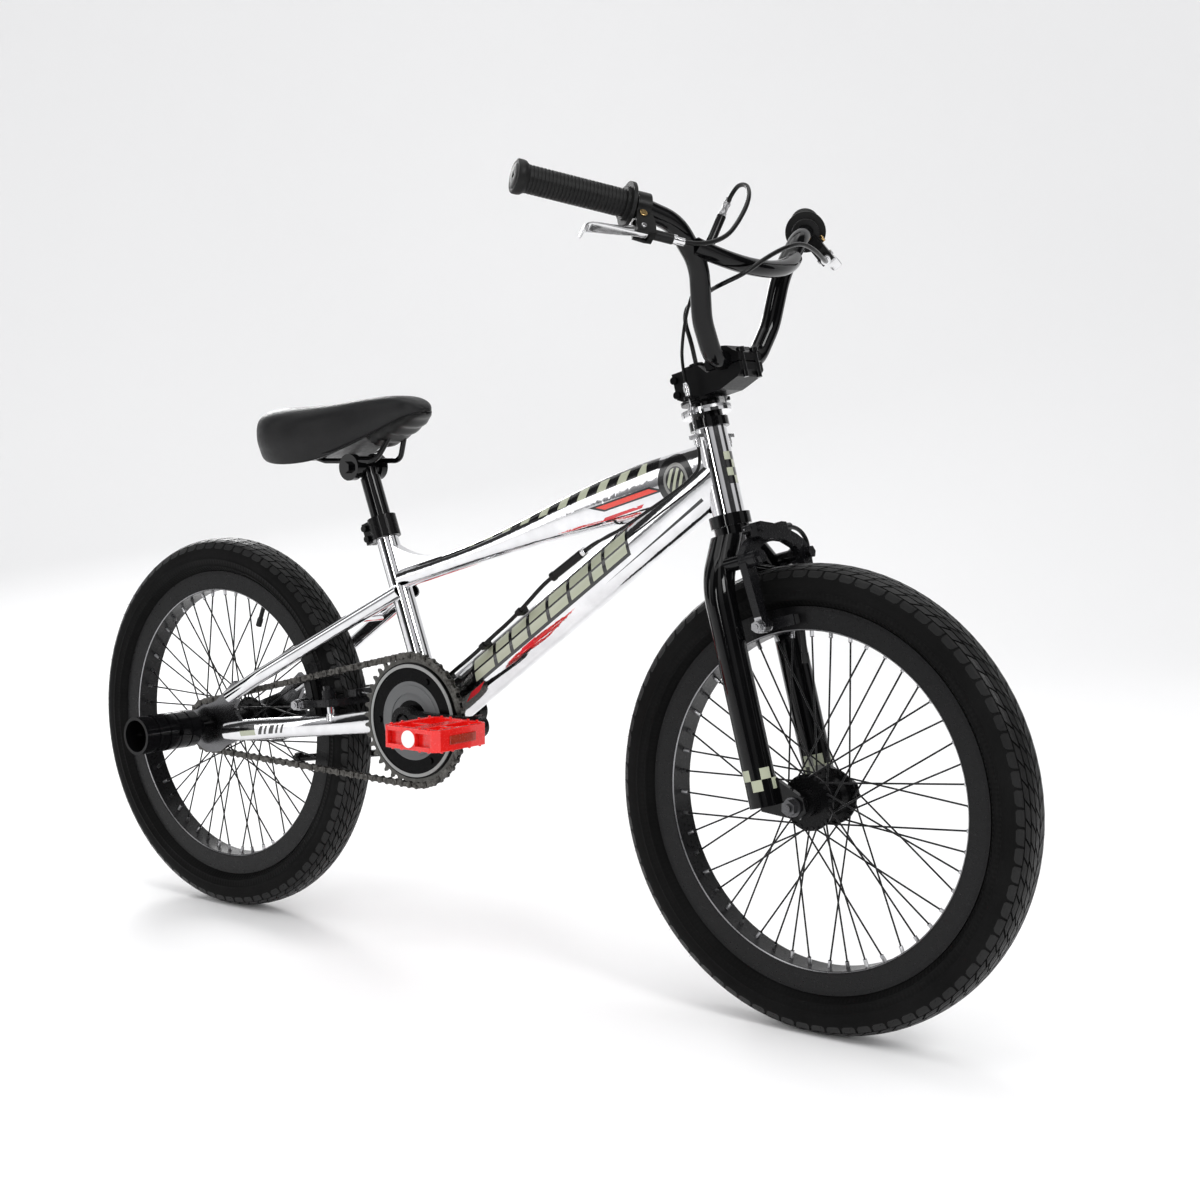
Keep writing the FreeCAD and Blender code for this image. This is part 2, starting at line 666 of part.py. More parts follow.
def gyro_upper_ring():
    """The turning half of the bearing, with its two ears and inner wires."""
    low, high = GYRO_SPLIT + 0.05, GYRO_SPLIT + 3.5
    parts = [gyro_ring(low, high, 17.0 + FIT)]
    wires = []
    for side in (-1, 1):
        parts.append(rod(head(UPPER_STOP_F, side * UPPER_STOP_Y, low),
                         head(UPPER_STOP_F, side * UPPER_STOP_Y, high), 4.0))
        parts.append(box_along_steering(UPPER_STOP_F, side * 24.5, side * UPPER_STOP_Y, low, high, 3.0))
        wires.append(rod(head(UPPER_STOP_F, side * UPPER_STOP_Y, high),
                         head(UPPER_STOP_F, side * UPPER_STOP_Y, GYRO_PLATE + 8), WIRE_R))
    body = joined(parts).cut(rod(head(0, 0, 400), head(0, 0, 460), 17.0 + FIT))
    return group([body] + wires)


def gyro_lower_ring():
    """The still half of the bearing, with its two ears and inner wires."""
    low, high = GYRO_SPLIT - 3.5, GYRO_SPLIT
    parts = [gyro_ring(low, high, 17.0 + FIT)]
    wires = []
    for side in (-1, 1):
        parts.append(rod(head(0, side * LOWER_STOP_Y, low), head(0, side * LOWER_STOP_Y, high), 4.0))
        wires.append(rod(head(0, side * LOWER_STOP_Y, LOWER_STOP_TOP - 5),
                         head(0, side * LOWER_STOP_Y, low), WIRE_R))
    body = joined(parts).cut(rod(head(0, 0, 400), head(0, 0, 460), 17.0 + FIT))
    return group([body] + wires)


def box_along_steering(f, y_a, y_b, low, high, half):
    """A bar across the bike between two side distances, square to the steering axis."""
    bar = box(V(-half, min(y_a, y_b), 0), V(half, max(y_a, y_b), high - low))
    bar.rotate(V(0, 0, 0), Y_AXIS, -math.degrees(HEAD_LEAN))
    bar.translate(head(f, 0, low))
    return bar


def gyro_stops():
    """Two lugs on the head tube, each with a barrel adjuster."""
    solids = []
    for side in (-1, 1):
        lug = box_along_steering(0, side * 10, side * (LOWER_STOP_Y + 5), 400.05, 404, 6.0)
        lug = without(lug, [head_cutter(), rod(head(0, side * LOWER_STOP_Y, 380),
                                               head(0, side * LOWER_STOP_Y, 410), 3.0)])
        barrel = adjuster(head(0, side * LOWER_STOP_Y, LOWER_STOP_TOP), STEER_UP * -1)
        solids += [max(lug.Solids, key=lambda s: s.Volume), barrel]
    return group(solids)


# Stem and bar ---------------------------------------------------------------------------
PINCH_S = (453.5, 470.0)
CROSS_R = 9.5
STEM_LOW = 444.5
BAR_F = 50.0
BAR_S = 474.0
STEM_HALF = 22.0


def stem_prism(outline, half):
    points = [head(f, -half, s) for f, s in outline]
    return Part.Face(Part.makePolygon(points + points[:1])).extrude(Y_AXIS * (2 * half))


def bar_cutter(extra=0.0):
    return rod(head(BAR_F, -60, BAR_S), head(BAR_F, 60, BAR_S), BAR_R + extra)


def stem_bolt_places():
    return [(BAR_F + df, dy) for df in (-19.0, 19.0) for dy in (-13.0, 13.0)]


def stem_body():
    outline = [(-20, 449), (-12, STEM_LOW), (38, STEM_LOW), (44, 446), (64, 452), (70, 458),
               (70, 467), (26, 467), (16, 478), (-20, 478)]
    block = stem_prism(outline, STEM_HALF)
    back = stem_prism([(-30, 440), (-19, 440), (-25, 484), (-30, 484)], 30)
    tools = [rod(head(0, 0, 430), head(0, 0, 490), STEERER_R), bar_cutter(), back,
             stem_prism([(-30, 440), (-13, 440), (-13, 484), (-30, 484)], 1.0)]
    for f, y in stem_bolt_places():
        tools.append(rod(head(f, y, 448), head(f, y, 480), 3.0))
    for s in PINCH_S:
        tools.append(rod(head(-17, -30, s), head(-17, 30, s), 2.5))
    return without(block, tools)


def stem_cap():
    outline = [(26, 468.5), (70, 468.5), (71, 477), (64, 482), (58, 488), (50, 490), (42, 488),
               (36, 483), (28, 481), (25, 477)]
    block = stem_prism(outline, STEM_HALF)
    tools = [bar_cutter()]
    for f, y in stem_bolt_places():
        tools.append(rod(head(f, y, 460), head(f, y, 495), 3.0))
        tools.append(rod(head(f, y, 478), head(f, y, 495), 4.8))
    return without(block, tools)


def stem_bolts():
    """Four cap bolts, two pinch bolts and the hollow top cap bolt with its cap."""
    solids = []
    for f, y in stem_bolt_places():
        shank = rod(head(f, y, 450), head(f, y, 478), 2.95)
        top = rod(head(f, y, 478), head(f, y, 483), 4.6)
        socket = hexagon(head(f, y, 480), head(f, y, 483.5), 2.9)
        solids.append(joined([shank, top]).cut(socket))
    for s in PINCH_S:
        shank = rod(head(-17, -21.9, s), head(-17, 21.9, s), 2.45)
        top = rod(head(-17, -STEM_HALF - 4, s), head(-17, -STEM_HALF, s), 4.2)
        solids.append(joined([shank, rod(head(-17, -STEM_HALF, s), head(-17, -21.9, s), 2.45), top]))
    cap = joined([
        rod(head(0, 0, STEERER_TOP), head(0, 0, STEERER_TOP + 3.5), 17.0),
        rod(head(0, 0, STEERER_TOP + 3.5), head(0, 0, STEERER_TOP + 7), 8.0),
        rod(head(0, 0, STEERER_TOP - 20), head(0, 0, STEERER_TOP), 6.0),
    ])
    solids.append(cap.cut(rod(head(0, 0, 440), head(0, 0, 500), CABLE_R + 0.5)))
    return group(solids)


BAR_POINTS = [                      # left half, from the middle of the clamp to the bar's end
    at(834.6, 0, 724.8), at(834.6, 40, 724.8), at(838, 66, 765), at(843.5, 79, 822),
    at(841, 118, 862), at(826, 158, 875.5), at(754, 271, 902),
]
BAR_BENDS = [30.0, 60.0, 60.0, 60.0, 80.0]
GRIP_DIR = (BAR_POINTS[6] - BAR_POINTS[5]).normalize()
GRIP_FLANGE = BAR_POINTS[5] + GRIP_DIR * 12.0
GRIP_END = BAR_POINTS[6]
GRIP_R = 14.5


def bar_half(r):
    centre = head(BAR_F, 0, BAR_S)
    points = [V(centre.x, 0, centre.z), V(centre.x, 40, centre.z)] + BAR_POINTS[2:]
    points[-1] = points[-1] - GRIP_DIR * 4.0
    return bent_rod(points, BAR_BENDS, r)


def cross_bar(r):
    ends = [at(850, -95, 840), at(850, 95, 840)]
    middle = at(870, 0, 822)
    path = Part.Wire(Part.Arc(ends[0], middle, ends[1]).toShape())
    start = path.Edges[0].tangentAt(path.Edges[0].FirstParameter)
    first = path.Edges[0].valueAt(path.Edges[0].FirstParameter)
    circle = Part.Circle(first, start, r).toShape()
    return path.makePipe(Part.Face(Part.Wire(circle)))


def handlebar():
    half = bar_half(BAR_R).cut(bar_half(BAR_R - 2.0))
    main = joined([half, mirrored(half)])
    solid_main = [bar_half(BAR_R), mirrored(bar_half(BAR_R))]
    cross = without(cross_bar(CROSS_R).cut(cross_bar(CROSS_R - 1.6)), solid_main)
    cross = min(cross.Solids, key=lambda s: abs(s.CenterOfMass.y))
    return group(main.Solids + [cross])


def grip():
    """A rubber sleeve with ribs, an inner flange and a closed outer end."""
    start = GRIP_FLANGE
    end = GRIP_END
    parts = [
        rod(start, end, GRIP_R - 0.8),
        rod(start, start + GRIP_DIR * 4, 23.5),
        rod(start + GRIP_DIR * 4, start + GRIP_DIR * 8, 17.5),
        rod(end - GRIP_DIR * 7, end, GRIP_R + 0.3),
    ]
    pitch = 4.0
    count = int((end - start).Length // pitch) - 4
    for k in range(count):
        a = start + GRIP_DIR * (10 + pitch * k)
        parts.append(rod(a, a + GRIP_DIR * 2.0, GRIP_R))
    body = joined(parts)
    return body.cut(rod(start - GRIP_DIR, end - GRIP_DIR * 4.0, BAR_R))


def grips():
    left = grip()
    return group([mirrored(left), left])


# Brake levers ---------------------------------------------------------------------------
LEVER_FWD = V(-GRIP_DIR.y, GRIP_DIR.x, 0).normalize() * -1
LEVER_OUT = (LEVER_FWD * 24 - Z_AXIS * 30).normalize()
LEVER_OUT = (LEVER_OUT - GRIP_DIR * LEVER_OUT.dot(GRIP_DIR)).normalize()
LEVER_AXIS = GRIP_DIR.cross(LEVER_OUT)
CLAMP_POINT = BAR_POINTS[5] + GRIP_DIR * 1.0
LEVER_PIVOT_OUT = 36.0
LEVER_THICK = 9.0


def lever_point(u, v, w=0.0):
    """Left lever frame: u outward along the grip, v away from the bar, w along the hinge."""
    return CLAMP_POINT + GRIP_DIR * u + LEVER_OUT * v + LEVER_AXIS * w


LEVER_PIVOT = lever_point(2.0, LEVER_PIVOT_OUT)


def lever_plate(outline, low, high):
    points = [lever_point(u, v, low) for u, v in outline]
    return Part.Face(Part.makePolygon(points + points[:1])).extrude(LEVER_AXIS * (high - low))


def lever_bracket():
    """The clamp on the bar, its two cheeks round the lever and the cable boss."""
    half = LEVER_THICK / 2
    clamp = rod(lever_point(-8, 0), lever_point(7, 0), 16.0)
    arm = lever_plate([(-8, 8), (7, 8), (9, 30), (9, 42), (-4, 43), (-12, 42), (-12, 24)],
                      -half - 3.5, half + 3.5)
    boss = rod(lever_point(-33, 36), lever_point(-8, 36), 5.5)
    slot = lever_plate([(-6, 24), (40, 17), (40, 60), (-6, 60)], -half - 0.3, half + 0.3)
    pin = rod(LEVER_PIVOT - LEVER_AXIS * (half + 3.4), LEVER_PIVOT + LEVER_AXIS * (half + 3.4), 2.5)
    body = joined([clamp, arm, boss])
    body = without(body, [
        slot, bar_half(BAR_R + 0.02),
        rod(lever_point(-45, 36), lever_point(-4, 36), 1.6),
        rod(lever_point(-45, 36), lever_point(-25, 36), 3.0),
    ])
    body = max(body.Solids, key=lambda s: s.Volume)
    return joined([body, pin])


def brake_lever():
    """The hand lever: an eye, a nose that pulls the cable and a curved two-finger blade."""
    half = LEVER_THICK / 2
    inner = [lever_point(5, 28.5), lever_point(18, 36), lever_point(40, 40), lever_point(60, 44),
             lever_point(68, 50)]
    outer = [lever_point(72, 53), lever_point(60, 52), lever_point(40, 49.5), lever_point(18, 48),
             lever_point(2, 42), lever_point(-3, 38)]
    first = Part.BSplineCurve()
    first.interpolate(inner)
    second = Part.BSplineCurve()
    second.interpolate(outer)
    edges = [
        first.toShape(), Part.LineSegment(inner[-1], outer[0]).toShape(), second.toShape(),
        Part.LineSegment(outer[-1], inner[0]).toShape(),
    ]
    blade = Part.Face(Part.Wire(edges)).extrude(LEVER_AXIS * (2 * half))
    blade.translate(LEVER_AXIS * -half)
    eye = rod(lever_point(2, LEVER_PIVOT_OUT, -half), lever_point(2, LEVER_PIVOT_OUT, half), 6.0)
    body = joined([blade, eye])
    return body.cut(rod(LEVER_PIVOT - LEVER_AXIS * 20, LEVER_PIVOT + LEVER_AXIS * 20, 2.5 + FIT))


def barrel_adjusters():
    """Two at the levers and two on the detangler's fixed plate."""
    lever_end = joined([
        rod(lever_point(-33, 36), lever_point(-37, 36), 5.5),
        rod(lever_point(-25, 36), lever_point(-33, 36), 2.95),
        rod(lever_point(-37, 36), lever_point(-46, 36), 4.0),
    ]).cut(rod(lever_point(-47, 36), lever_point(-20, 36), 1.0)).cut(
        rod(lever_point(-47, 36), lever_point(-40, 36), CABLE_R))
    solids = both(lever_end)
    for side in (-1, 1):
        start = head(UPPER_STOP_F, side * UPPER_STOP_Y, GYRO_PLATE + 5)
        solids.append(adjuster(start, STEER_UP))
    return group(solids)


# Cables ---------------------------------------------------------------------------------
WIRE_F = 42.0
BRAKE_WIRE_S = 288.0
CAP_TOP = STEERER_TOP + 7
SPLIT_DIR = V(-0.25, -0.32, -0.91).normalize()
SPLIT_TOP = at(832, -17, 884)
SPLIT_END = SPLIT_TOP + SPLIT_DIR * 38
LOW_SPLIT_DIR = V(-0.834, 0, -0.551).normalize()
LOW_SPLIT_TOP = at(645, -27, 511.5)
LOW_SPLIT_END = LOW_SPLIT_TOP + LOW_SPLIT_DIR * 57


def lever_exit(side):
    """The mouth of a lever's barrel adjuster and a point straight out of it."""
    mouth, lead = lever_point(-40.05, 36), lever_point(-62, 36)
    if side < 0:
        mouth, lead = V(mouth.x, -mouth.y, mouth.z), V(lead.x, -lead.y, lead.z)
    return mouth, lead


def front_brake_cable():
    """From the left lever over the cross bar, down through the steerer, to the front brake."""
    mouth, lead = lever_exit(1)
    upper = cord("front upper", [
        mouth, lead, at(886, 84, 846), at(888, 52, 852), at(889, 18, 845), at(887, -18, 831),
        at(880, -48, 813), at(861, -60, 803), at(833, -47, 797), at(806, -26, 789), at(785, -17, 788),
        at(771.5, -6, 771), head(0, 0, 511), head(0, 0, CAP_TOP),
    ], CABLE_R)
    inside = rod(head(0, 0, 300), head(0, 0, CAP_TOP), CABLE_R)
    lower = cord("front lower", [
        head(0, 0, 300), head(0, 0, 268), head(5, 6, 256), head(13, 15.5, 252.5), head(27, 32, 245),
        head(30, 48, 237), head(33, 64, 238), head(38, 77, 249), head(43, 79, 270),
        head(WIRE_F, 64, BRAKE_WIRE_S), head(WIRE_F, 44, BRAKE_WIRE_S),
    ], CABLE_R)
    wire = rod(head(WIRE_F, 44, BRAKE_WIRE_S), head(WIRE_F, -41, BRAKE_WIRE_S), WIRE_R)
    return group([upper, inside, lower, wire])


def splitter(top, direction, length):
    """A barrel that joins one cable to two."""
    end = top + direction * length
    return joined([
        rod(top, top + direction * 5, 4.2),
        rod(top + direction * 5, end - direction * 4, 5.0),
        rod(end - direction * 4, end, 5.6),
    ])


def gyro_upper_cables():
    """From the right lever up and over to a splitter, then to both upper adjusters."""
    mouth, lead = lever_exit(-1)
    single = cord("gyro upper", [
        mouth, lead, at(885, -90, 846), at(884, -64, 866), at(882, -42, 890), at(869, -25, 908),
        at(849, -15, 911), SPLIT_TOP - SPLIT_DIR * 14, SPLIT_TOP,
    ], CABLE_R)
    body = splitter(SPLIT_TOP, SPLIT_DIR, 38)
    side = V(0.1, -0.9, 0.3).normalize()
    side = (side - SPLIT_DIR * side.dot(SPLIT_DIR)).normalize()
    right_start = SPLIT_END + side * 2.6
    left_start = SPLIT_END - side * 2.6
    right = cord("gyro upper right", [
        right_start, right_start + SPLIT_DIR * 14, at(813, -39, 812), at(801, -41, 780),
        at(794, -40, 750), head(UPPER_STOP_F, -UPPER_STOP_Y, 483), upper_mouth(-1),
    ], TWIN_R)
    left = cord("gyro upper left", [
        left_start, left_start + SPLIT_DIR * 14, at(800, -9, 801), at(782, 10, 772), at(776, 27, 744),
        head(UPPER_STOP_F, UPPER_STOP_Y, 486), upper_mouth(1),
    ], TWIN_R)
    return group([single, body, right, left])


def upper_mouth(side):
    return head(UPPER_STOP_F, side * UPPER_STOP_Y, GYRO_PLATE + 13)


def lower_mouth(side):
    return head(0, side * LOWER_STOP_Y, LOWER_STOP_TOP - 8)


def rear_cable_points():
    return [
        LOW_SPLIT_END, LOW_SPLIT_END + LOW_SPLIT_DIR * 16, at(560, -27, 449), at(531, -26.5, 424.5),
        at(502, -26, 404), at(472, -26, 380.5), at(441, -27, 359), at(414, -27.5, 339), at(391, -29, 327),
        at(368, -25.5, 318.5), CABLE_STOP + CABLE_STOP_DIR * 18, CABLE_STOP,
    ]


def rear_brake_cables():
    """Two lower detangler cables, the single cable to the rear brake and its bare wires."""
    right_in = LOW_SPLIT_TOP + V(0, -2.4, 0)
    left_in = LOW_SPLIT_TOP + V(0, 2.4, 0)
    right = cord("gyro lower right", [
        lower_mouth(-1), head(0, -LOWER_STOP_Y, 372), at(799, -29.5, 597), at(769, -29, 578),
        at(738, -28.5, 560), at(708, -29, 543), at(681, -29.4, 529), right_in - LOW_SPLIT_DIR * 18,
        right_in,
    ], TWIN_R)
    left = cord("gyro lower left", [
        lower_mouth(1), head(0, LOWER_STOP_Y, 372), at(799, 29.5, 597), at(769, 29, 578),
        at(740, 29, 561), at(714, 26, 548.5), at(692, 17, 542), at(673, 0, 535.6),
        left_in - LOW_SPLIT_DIR * 20, left_in,
    ], TWIN_R)
    single = cord("rear single", rear_cable_points(), CABLE_R)
    start = CABLE_STOP
    yoke = CABLE_STOP - CABLE_STOP_DIR * 22.7
    pull = rod(yoke, start, WIRE_R)
    body = rod(yoke - Z_AXIS * 4, yoke + Z_AXIS * 4, 5.0)
    pull = pull.cut(body)
    wires = []
    for side in (-1, 1):
        wire = rod(yoke, rear_frame(-side * 32, 42.9, side * 5), WIRE_R).cut(body)
        wires.append(wire)
    return group([right, left, single, pull, body] + wires)


def cable_clips():
    """The lower splitter barrel and three guides that hold the rear cable to the frame."""
    solids = [splitter(LOW_SPLIT_TOP, LOW_SPLIT_DIR, 57)]
    points = rear_cable_points()
    for a, b in ((points[2], points[3]), (points[4], points[5]), (points[6], points[7])):
        middle = (a + b) * 0.5
        along = (b - a).normalize()
        band = ring(middle - along * 3.5, middle + along * 3.5, 4.0, CABLE_R + 0.03)
        base = box(V(-5, 0, -3.0), V(5, 12, 3.0))
        base.rotate(V(0, 0, 0), Y_AXIS, -math.degrees(DOWN_SLOPE))
        base.translate(middle)
        base = base.cut(rod(middle - along * 20, middle + along * 20, CABLE_R + 0.03))
        clip = joined([band, base]).cut(down_solid(0))
        solids.append(min(clip.Solids, key=lambda s: s.BoundBox.YMin))
    return group(solids)


# Brakes ---------------------------------------------------------------------------------
ARM_BOSS_R = 9.0
PAD_GAP = 2.0
RIM_HALF = 17.0
PAD_R = 193.0
BOSS_LOW = -10.0                    # along the post, from the middle of both arms
BOSS_HIGH = 10.0
FRONT_MID_F = 47.0
REAR_MID = 27.5
PAD_EYE = 45.0
FRONT_DROP = PIVOT_S - AXLE_S - PAD_R
REAR_DROP = 57.0


def brake_arm(frame, low, high, side, drop):
    """An arm in its brake's flat; frame turns (across, outward, along the post) into a point."""
    across, outward = side * PIVOT_Y, 0.0
    outline = arm_outline(side, drop)
    eye = (side * PAD_EYE, -drop)
    points = [frame(a, o, low) for a, o in outline]
    lift = frame(0, 0, high) - frame(0, 0, low)
    plate = Part.Face(Part.makePolygon(points + points[:1])).extrude(lift)
    boss = rod(frame(across, outward, BOSS_LOW), frame(across, outward, BOSS_HIGH), ARM_BOSS_R)
    middle = (low + high) / 2
    lug = rod(frame(eye[0] - 6, eye[1], middle), frame(eye[0] + 6, eye[1], middle), 7.5)
    body = joined([plate, boss, lug])
    bore = rod(frame(across, outward, -40), frame(across, outward, BOSS_HIGH + 10), POST_R + FIT)
    tools = [bore, rod(frame(eye[0] - 20, eye[1], middle), frame(eye[0] + 20, eye[1], middle), 3.0)]
    for turn in (-1, 1):
        near = frame(eye[0] + turn * 6, eye[1], middle)
        tools.append(rod(near, frame(eye[0] + turn * 16, eye[1], middle), 7.6))
    return without(body, tools)


def arm_outline(side, drop):
    """An arm's edge round its pivot: across from the bike's middle, outward from the pivot."""
    edge = [
        (-58, -3), (-57.5, 7), (-50, 15), (-38, 22), (-18, 30), (6, 36), (28, 39), (38, 38),
        (38, 23), (30, 19), (8, 19), (-14, 16), (-30, 9), (-38, -1), (-40, -15), (-40, 15 - drop),
        (-38.5, -drop), (-50, -drop - 4), (-53, 19 - drop), (-57, -15),
    ]
    return [(-side * a, o) for a, o in edge]


def pad(frame, side, middle, axes, eye):
    """Pad, its metal shoe, its bolt, washers and nut; axes are along the rim and outward."""
    inner = RIM_HALF + PAD_GAP
    solids = []
    spans = ((inner, inner + 8.5, 5.0), (inner + 8.5, inner + 11.0, 5.8))
    for near, far, half in spans:
        corners = []
        for along, out in ((-25, -half), (25, -half), (25, half), (-25, half), (-25, -half)):
            corners.append(frame(side * near, eye[1], 0) + axes[0] * along + axes[1] * out)
        block = Part.Face(Part.makePolygon(corners)).extrude(
            frame(side * far, 0, 0) - frame(side * near, 0, 0))
        solids.append(block)
    start = frame(side * (inner + 11.0), eye[1], middle)
    arm_in = frame(side * (abs(eye[0]) - 6), eye[1], middle)
    arm_out = frame(side * (abs(eye[0]) + 6), eye[1], middle)
    away = (arm_out - arm_in).normalize()
    solids.append(rod(start, arm_out + away * 9, 2.95))
    solids.append(ring(arm_in - away * 3, arm_in, 7.0, 2.95))
    solids.append(ring(arm_out, arm_out + away * 3, 7.0, 2.95))
    nut = hexagon(arm_out + away * 3, arm_out + away * 8, 6.2)
    solids.append(nut.cut(rod(start, arm_out + away * 20, 2.95)))
    return solids


def pivot_nut(frame, across, outward, top):
    """A washer and a cap nut that close the arm on its post."""
    low = frame(across, outward, BOSS_HIGH)
    high = frame(across, outward, BOSS_HIGH + 1.5)
    end = frame(across, outward, BOSS_HIGH + 7)
    nut = joined([rod(low, high, 8.5), hexagon(high, end, 7.0)])
    return nut.cut(rod(low, frame(across, outward, top), POST_R + FIT))


def front_frame(across, outward, along):
    """The front brake's flat: outward is measured from the pivots, along runs forward."""
    return head(FRONT_MID_F + along, across, PIVOT_S + outward)


def rear_frame(across, outward, along):
    """The rear brake's flat, tipped back on the chain stays: outward runs forward."""
    ahead = Y_AXIS.cross(REAR_POST_UP)
    foot = at(REAR_POST_FOOT, 0, 283) + REAR_POST_UP * REAR_MID
    return foot + Y_AXIS * across + ahead * outward + REAR_POST_UP * along


def front_arm(side):
    """The right arm crosses over and stops the housing; the left arm clamps the wire."""
    middle = side * 5.0
    arm = brake_arm(front_frame, middle - 4.5, middle + 4.5, side, FRONT_DROP)
    wire = rod(head(WIRE_F, -60, BRAKE_WIRE_S), head(WIRE_F, 60, BRAKE_WIRE_S), WIRE_R + 0.02)
    extra = []
    if side < 0:
        arm = joined([arm, rod(head(WIRE_F, 28, BRAKE_WIRE_S), head(WIRE_F, 49, BRAKE_WIRE_S), 4.6)])
        pocket = rod(head(WIRE_F, 44, BRAKE_WIRE_S), head(WIRE_F, 60, BRAKE_WIRE_S), CABLE_R + 0.02)
        arm = without(arm, [wire, pocket])
    else:
        arm = joined([arm, rod(head(37.5, -34, BRAKE_WIRE_S), head(50, -34, BRAKE_WIRE_S), 4.8)])
        arm = arm.cut(wire)
        extra.append(hexagon(head(56.5, -33, BRAKE_WIRE_S), head(61, -33, BRAKE_WIRE_S), 5.5))
    extra += pad(front_frame, side, middle, (STEER_FWD, STEER_UP), (side * PAD_EYE, -FRONT_DROP))
    extra.append(pivot_nut(front_frame, side * PIVOT_Y, 0, 11.8))
    return group(arm.Solids + extra)


def rear_arm(side):
    """Like the front arms, but both ends are pulled forward by a straddle wire."""
    middle = side * 5.0
    arm = brake_arm(rear_frame, middle - 4.5, middle + 4.5, side, REAR_DROP)
    tip = rod(rear_frame(-side * 32, 30, middle), rear_frame(-side * 32, 42, middle), 4.4)
    arm = joined([arm, tip])
    centre = rear_frame(side * PAD_EYE, -REAR_DROP, 0)
    outward = V(centre.x - REAR_AXLE.x, 0, centre.z - REAR_AXLE.z).normalize()
    along = Y_AXIS.cross(outward)
    extra = pad(rear_frame, side, middle, (along, outward), (side * PAD_EYE, -REAR_DROP))
    extra.append(pivot_nut(rear_frame, side * PIVOT_Y, 0, 12.8))
    return group(arm.Solids + extra)


# Wheels ---------------------------------------------------------------------------------
RIM_INNER = 183.0
RIM_SEAT = 203.0
RIM_EDGE = 209.0
NIPPLE_R = 2.2
SPOKE_R = 1.0
VALVE_R = 3.0
HUB_HOLE_R = 28.0


def spun(profile, centre):
    """A ring shape from (radius, side) corners, turned about the axle through centre."""
    corners = [centre + Z_AXIS * r + Y_AXIS * y for r, y in profile]
    face = Part.Face(Part.makePolygon(corners + corners[:1]))
    return face.revolve(centre, Y_AXIS, 360)


def spoke_angle(k):
    return 2 * math.pi * (k + 0.5) / SPOKES


def radial(angle):
    return X_AXIS * math.cos(angle) + Z_AXIS * math.sin(angle)


def rim(centre, valve_angle):
    w = RIM_HALF
    outer = [
        (RIM_INNER, -w + 2), (RIM_INNER, w - 2), (RIM_INNER + 2, w), (RIM_EDGE, w), (RIM_EDGE, w - 2.4),
        (RIM_EDGE - 2, w - 2), (RIM_SEAT, w - 2), (RIM_SEAT - 3, 6), (RIM_SEAT - 3, -6),
        (RIM_SEAT, -w + 2), (RIM_EDGE - 2, -w + 2), (RIM_EDGE, -w + 2.4), (RIM_EDGE, -w),
        (RIM_INNER + 2, -w),
    ]
    hollow = [
        (RIM_INNER + 2, -w + 3), (RIM_INNER + 2, w - 3), (RIM_INNER + 3, w - 2), (RIM_SEAT - 3, w - 2),
        (RIM_SEAT - 5, 6), (RIM_SEAT - 5, -6), (RIM_SEAT - 3, -w + 2), (RIM_INNER + 3, -w + 2),
    ]
    body = spun(outer, centre).cut(spun(hollow, centre))
    tools = []
    for k in range(SPOKES):
        out = radial(spoke_angle(k))
        tools.append(rod(centre + out * (RIM_INNER - 3), centre + out * (RIM_INNER + 4), NIPPLE_R + 0.4))
    out = radial(valve_angle)
    tools.append(rod(centre + out * (RIM_INNER - 5), centre + out * (RIM_EDGE + 2), VALVE_R + 0.08))
    return without(body, tools)


def tyre(centre):
    outer = [
        (203.2, -14.4), (209.2, -14.4), (210.6, -18), (214, -23), (222, -26.5), (230, TYRE_HALF * -1),
        (240, -26), (247, -22), (251, -16), (253.5, -8), (TYRE_R, 0), (253.5, 8), (251, 16), (247, 22),
        (240, 26), (230, TYRE_HALF), (222, 26.5), (214, 23), (210.6, 18), (209.2, 14.4), (203.2, 14.4),
        (203.2, 10.5), (209, 11), (215, 18), (222, 22.8), (230, 23.6), (239, 22.2), (244.5, 18),
        (247.5, 12), (249, 0), (247.5, -12), (244.5, -18), (239, -22.2), (230, -23.6), (222, -22.8),
        (215, -18), (209, -11), (203.2, -10.5),
    ]
    return spun(outer, centre)


def inner_tube(centre, valve_angle):
    out = radial(valve_angle)
    torus = Part.makeTorus(228, 20, centre, Y_AXIS)
    hollow = Part.makeTorus(228, 18, centre, Y_AXIS)
    stem = rod(centre + out * 152, centre + out * 212, VALVE_R)
    cap = rod(centre + out * 147, centre + out * 158, VALVE_R + 1.0)
    return joined([torus, stem, cap]).cut(hollow)


def hub(centre, flanges, ends, boss):
    """Shell, two drilled flanges and bearing rings; boss is the freewheel's thread, if any."""
    right, left = flanges
    parts = [
        rod(centre + Y_AXIS * ends[0], centre + Y_AXIS * ends[1], 14.5),
        rod(centre + Y_AXIS * (right + 1), centre + Y_AXIS * (left - 1), 16.0),
        rod(centre + Y_AXIS * (right - 1.1), centre + Y_AXIS * (right + 1.1), 30.5),
        rod(centre + Y_AXIS * (left - 1.1), centre + Y_AXIS * (left + 1.1), 30.5),
        cone(centre + Y_AXIS * (right + 1.1), centre + Y_AXIS * (right + 6), 21.0, 16.0),
        cone(centre + Y_AXIS * (left - 1.1), centre + Y_AXIS * (left - 6), 21.0, 16.0),
    ]
    if boss:
        parts.append(rod(centre + Y_AXIS * ends[0], centre + Y_AXIS * (ends[0] + 10), boss))
    body = joined(parts)
    tools = [rod(centre - Y_AXIS * 60, centre + Y_AXIS * 60, 12.0)]
    for k in range(SPOKES):
        y = left if k % 2 == 0 else right
        out = radial(hub_angle(k))
        point = centre + out * HUB_HOLE_R + Y_AXIS * y
        tools.append(rod(point - Y_AXIS * 3, point + Y_AXIS * 3, SPOKE_R + 0.1))
    return without(body, tools)


